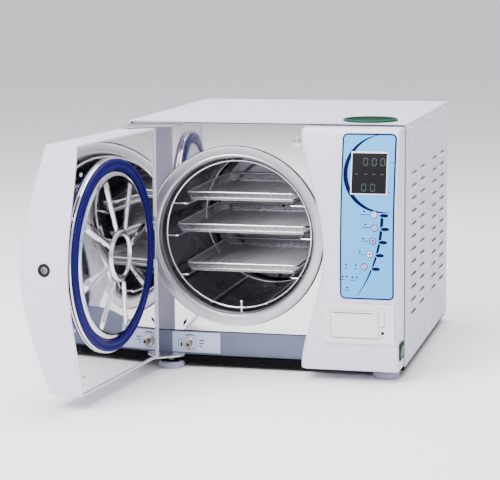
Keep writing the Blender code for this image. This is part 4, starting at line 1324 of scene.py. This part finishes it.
    def keys(self) -> None:
        """Five round keys, each a turned dome with a printed ring and sign."""
        for number, finish in enumerate((KEY_PALE, KEY_MAUVE, KEY_MAUVE, KEY_PALE, KEY_MAUVE), 1):
            node, body = f"key_{number}", f"button_{number}"
            key = cad(node)
            front, centre = key.low[1], (key.at[0], 0, key.at[2])
            dome = [(0, 8), (1, 8), (1, 1.2), (0.92, 0.5), (0.75, 0.4), (0.4, 0.7), (0, 0.8)]
            turned(f"{node}_dome", profile(dome, front, key.radius), centre, "Y", 44, finish, 0.5,
                   body=body, stands_for=node, crease=60)
            ring = profile([(0.80, 0.7), (0.97, 0.9), (0.97, 0.35), (0.88, 0.1), (0.80, 0.2)], front,
                           key.radius)
            sign = self.key_sign(number, key.at[[0, 2]], flat(front + 0.4 * MM))
            add_piece(f"{node}_print", lathe(ring, centre, "Y", 44, True) + sign, KEY_INK, body)

    def key_sign(self, number: int, at: Array, face: Front) -> Shape:
        """A generic sign on a key: a slanted bar, three level bars or a spot.

        Args:
            number: the key's number from the top.
            at: the key's middle, across and up.
            face: depth of the key's face.

        Returns:
            The sign.
        """
        lift = (-0.2, 0.15)
        if number == 4:
            return dot(face, at, (1.6, 1.6), lift)
        if number == 3:
            bars, width = [[(-2.4, dz), (2.4, dz)] for dz in (-1.6, 0, 1.6)], 0.8
        else:
            bars, width = [[(-1.8, 2.4), (1.8, -2.4)]], 1.0
        return together([stroke(face, at + np.array(bar) * MM, width, lift) for bar in bars])

    def on_front(self, node: str, lift: tuple[float, float], corner: float, edge: float) -> Shape:
        """A panel on the front over a CAD node's box."""
        low, high = cad(node).low, cad(node).high
        return panel(FRONT.depth, (low[0], high[0]), (low[2], high[2]), lift, corner, edge)

    def printer(self) -> None:
        """The strip printer's surround, its flap with a paper slot that a black sheet darkens as painted
        shadow, and the release lever.
        """
        lever, flap = cad("flap_release_lever"), cad("printer_flap")
        well = panel(FRONT.depth, (lever.low[0], lever.high[0]), (0.0748, 0.0910), (3.4, 9), 0.5)
        holes = [self.opening("printer_flap"), self.opening("flap_release_lever"), self.feed_hole(), well]
        surround = carved(self.on_front("printer_surround", (0.2, 4), 3, 1.2), holes)
        add_piece("printer_surround_panel", surround, PRINTER, stands_for="printer_surround")
        x0, x1, z = flap.low[0], flap.high[0], flap.high[2] - 3.2 * MM
        slot = panel(FRONT.depth, (x0 + 4 * MM, x1 - 8 * MM), (z - 0.7 * MM, z + 0.7 * MM), (3.2, 9), 0.5)
        add_piece("printer_flap_panel", carved(self.on_front("printer_flap", (2, 4.4), 1, 0.5), [slot]),
                  PRINTER, "paper_flap", "printer_flap")
        # A black sheet at the bottom of the slot's groove is painted shadow.
        shade = panel(FRONT.depth, (x0 + 4.2 * MM, x1 - 8.2 * MM), (z - 0.6 * MM, z + 0.6 * MM), (3, 3.5),
                      0.3, 0.1)
        add_piece("paper_slot_shadow", shade, BLACK, "paper_flap")
        add_piece("release_lever_cap", self.on_front("flap_release_lever", (1.5, 5), 0.8, 0.9), PRINTER,
                  "release_lever", "flap_release_lever")

    def paper_and_feed(self) -> None:
        """The feed key, the paper roll and the platen."""
        feed, roll = cad("paper_feed_key"), cad("paper_roll")
        key = profile([(0, 9), (2.2, 9), (2.2, 0.5), (1.6, 0), (0, 0)], feed.low[1])
        turned("feed_key_cap", key, (feed.at[0], 0, feed.at[2]), "Y", 24, BLACK, 0.3, body="feed_button",
               stands_for="paper_feed_key")
        outer, x0, x1 = (roll.high[2] - roll.low[2]) / 2, roll.low[0], roll.high[0]
        wound = [(6 * MM, x0), (outer - 0.3 * MM, x0), (outer, x0 + 0.4 * MM), (outer, x1 - 0.4 * MM),
                 (outer - 0.3 * MM, x1), (6 * MM, x1)]
        turned("paper_roll_wound", wound, (0, roll.at[1], roll.at[2]), "X", 56, PAPER, ring=True,
               body="roll", stands_for="paper_roll")
        dress(BLACK, "printer_platen")

    def power_switch(self) -> None:
        """The mains rocker, an outline carried along Y, and its bezel on the fascia's right side."""
        low, high = cad("switch_bezel").low, cad("switch_bezel").high
        hole = block(low + np.array([-10, 4, 2]) * MM, high + np.array([10, -4, -2]) * MM, 0.1 * MM)
        bezel = carved(block(low, high, 0.7 * MM), [hole])
        add_piece("switch_bezel_frame", bezel, BLACK, stands_for="switch_bezel")
        rocker = cad("power_rocker")
        z0, z1 = rocker.low[2] + 0.2 * MM, rocker.high[2] - 0.2 * MM
        corners = [(0.2130, z0 + 3 * MM), (0.2236, z0), (0.2234, (z0 + z1) / 2), (0.2256, z1),
                   (0.2130, z1 - 3 * MM)]
        section = np.array(filleted(corners, 0.8 * MM, 4, True))
        y = np.linspace(rocker.low[1], rocker.high[1], 12)[:, None]
        grid = np.stack([section[:, 0] + 0 * y, y + 0 * section[:, 0], section[:, 1] + 0 * y], -1)
        # Its green finish glows a little as painted light.
        add_piece("rocker_paddle", skin(grid), ROCKER_PAINTED_GLOW, "rocker", "power_rocker")


# ---------------------------------------------------------------- studio
@dataclass
class Studio:
    """Pale floor, soft lights and the camera."""

    floor_reach: float = 60.0
    air_colour: tuple = (0.93, 0.94, 1.0, 1.0)
    lights: tuple = (("key_softbox", (-0.9, -2.2, 2.3), (48, 0, -24), (1.8, 1.4), 165.0),
                     ("fill_softbox", (2.4, -0.9, 1.3), (68, 0, 68), (1.2, 1.6), 5.0),
                     ("top_softbox", (0.3, 0.3, 2.4), (0, 0, 0), (2.2, 2.2), 110.0))
    camera_at: tuple = (0.6459, -2.6663, 0.6380)
    yaw: float = 0.2468
    pitch: float = 0.1543
    roll: float = -0.0076
    lens: float = 126.8

    def build(self) -> None:
        """Sets the stage."""
        self.floor_and_air()
        for light in self.lights:
            self.light(*light)
        self.camera()

    def floor_and_air(self) -> None:
        """A wide flat floor, and an even pale surround."""
        corners = np.array([[-1, -1, 0], [1, -1, 0], [1, 1, 0], [-1, 1, 0]], float) * self.floor_reach
        floor = plain_object("floor", Shape(corners, [(0, 1, 2, 3)]))
        floor.data.materials.append(FLOOR.material())
        world = bpy.data.worlds.new("studio")
        world.use_nodes = True
        plug(world.node_tree, world.node_tree.nodes["Background"],
             {"Color": self.air_colour, "Strength": 1.0})
        bpy.context.scene.world = world

    def light(self, name: str, at: tuple, turn: tuple, size: tuple, power: float) -> None:
        """An area light.

        Args:
            name: its name.
            at: its place.
            turn: its rotation in degrees.
            size: its width and height.
            power: watts.
        """
        data = bpy.data.lights.new(name, "AREA")
        data.shape = "RECTANGLE"
        data.size, data.size_y = size
        data.energy = power
        lamp = bpy.data.objects.new(name, data)
        lamp.location = at
        lamp.rotation_euler = [math.radians(a) for a in turn]
        bpy.context.scene.collection.objects.link(lamp)

    def camera(self) -> None:
        """The camera: yaw, then pitch down, then a slight roll."""
        yaw, pitch, roll = self.yaw, self.pitch, self.roll
        back = np.array([math.sin(yaw) * math.cos(pitch), -math.cos(yaw) * math.cos(pitch),
                         math.sin(pitch)])
        right = np.array([math.cos(yaw), math.sin(yaw), 0.0])
        up = np.cross(back, right)
        rolled_right = math.cos(roll) * right + math.sin(roll) * up
        rolled_up = -math.sin(roll) * right + math.cos(roll) * up
        data = bpy.data.cameras.new("camera")
        data.lens = self.lens
        data.sensor_width = 36.0
        camera = bpy.data.objects.new("camera", data)
        turn = Matrix(np.stack([rolled_right, rolled_up, back], 1).tolist()).to_4x4()
        camera.matrix_world = Matrix.Translation((np.array(self.camera_at) + SHIFT).tolist()) @ turn
        bpy.context.scene.collection.objects.link(camera)
        bpy.context.scene.camera = camera


def main() -> None:
    """Builds every sub-assembly in order."""
    logging.basicConfig(level=logging.INFO)
    Studio().build()
    Cabinet().build()
    Chamber().build()
    Door().build()
    Fascia().build()


if __name__ == "__main__":
    main()
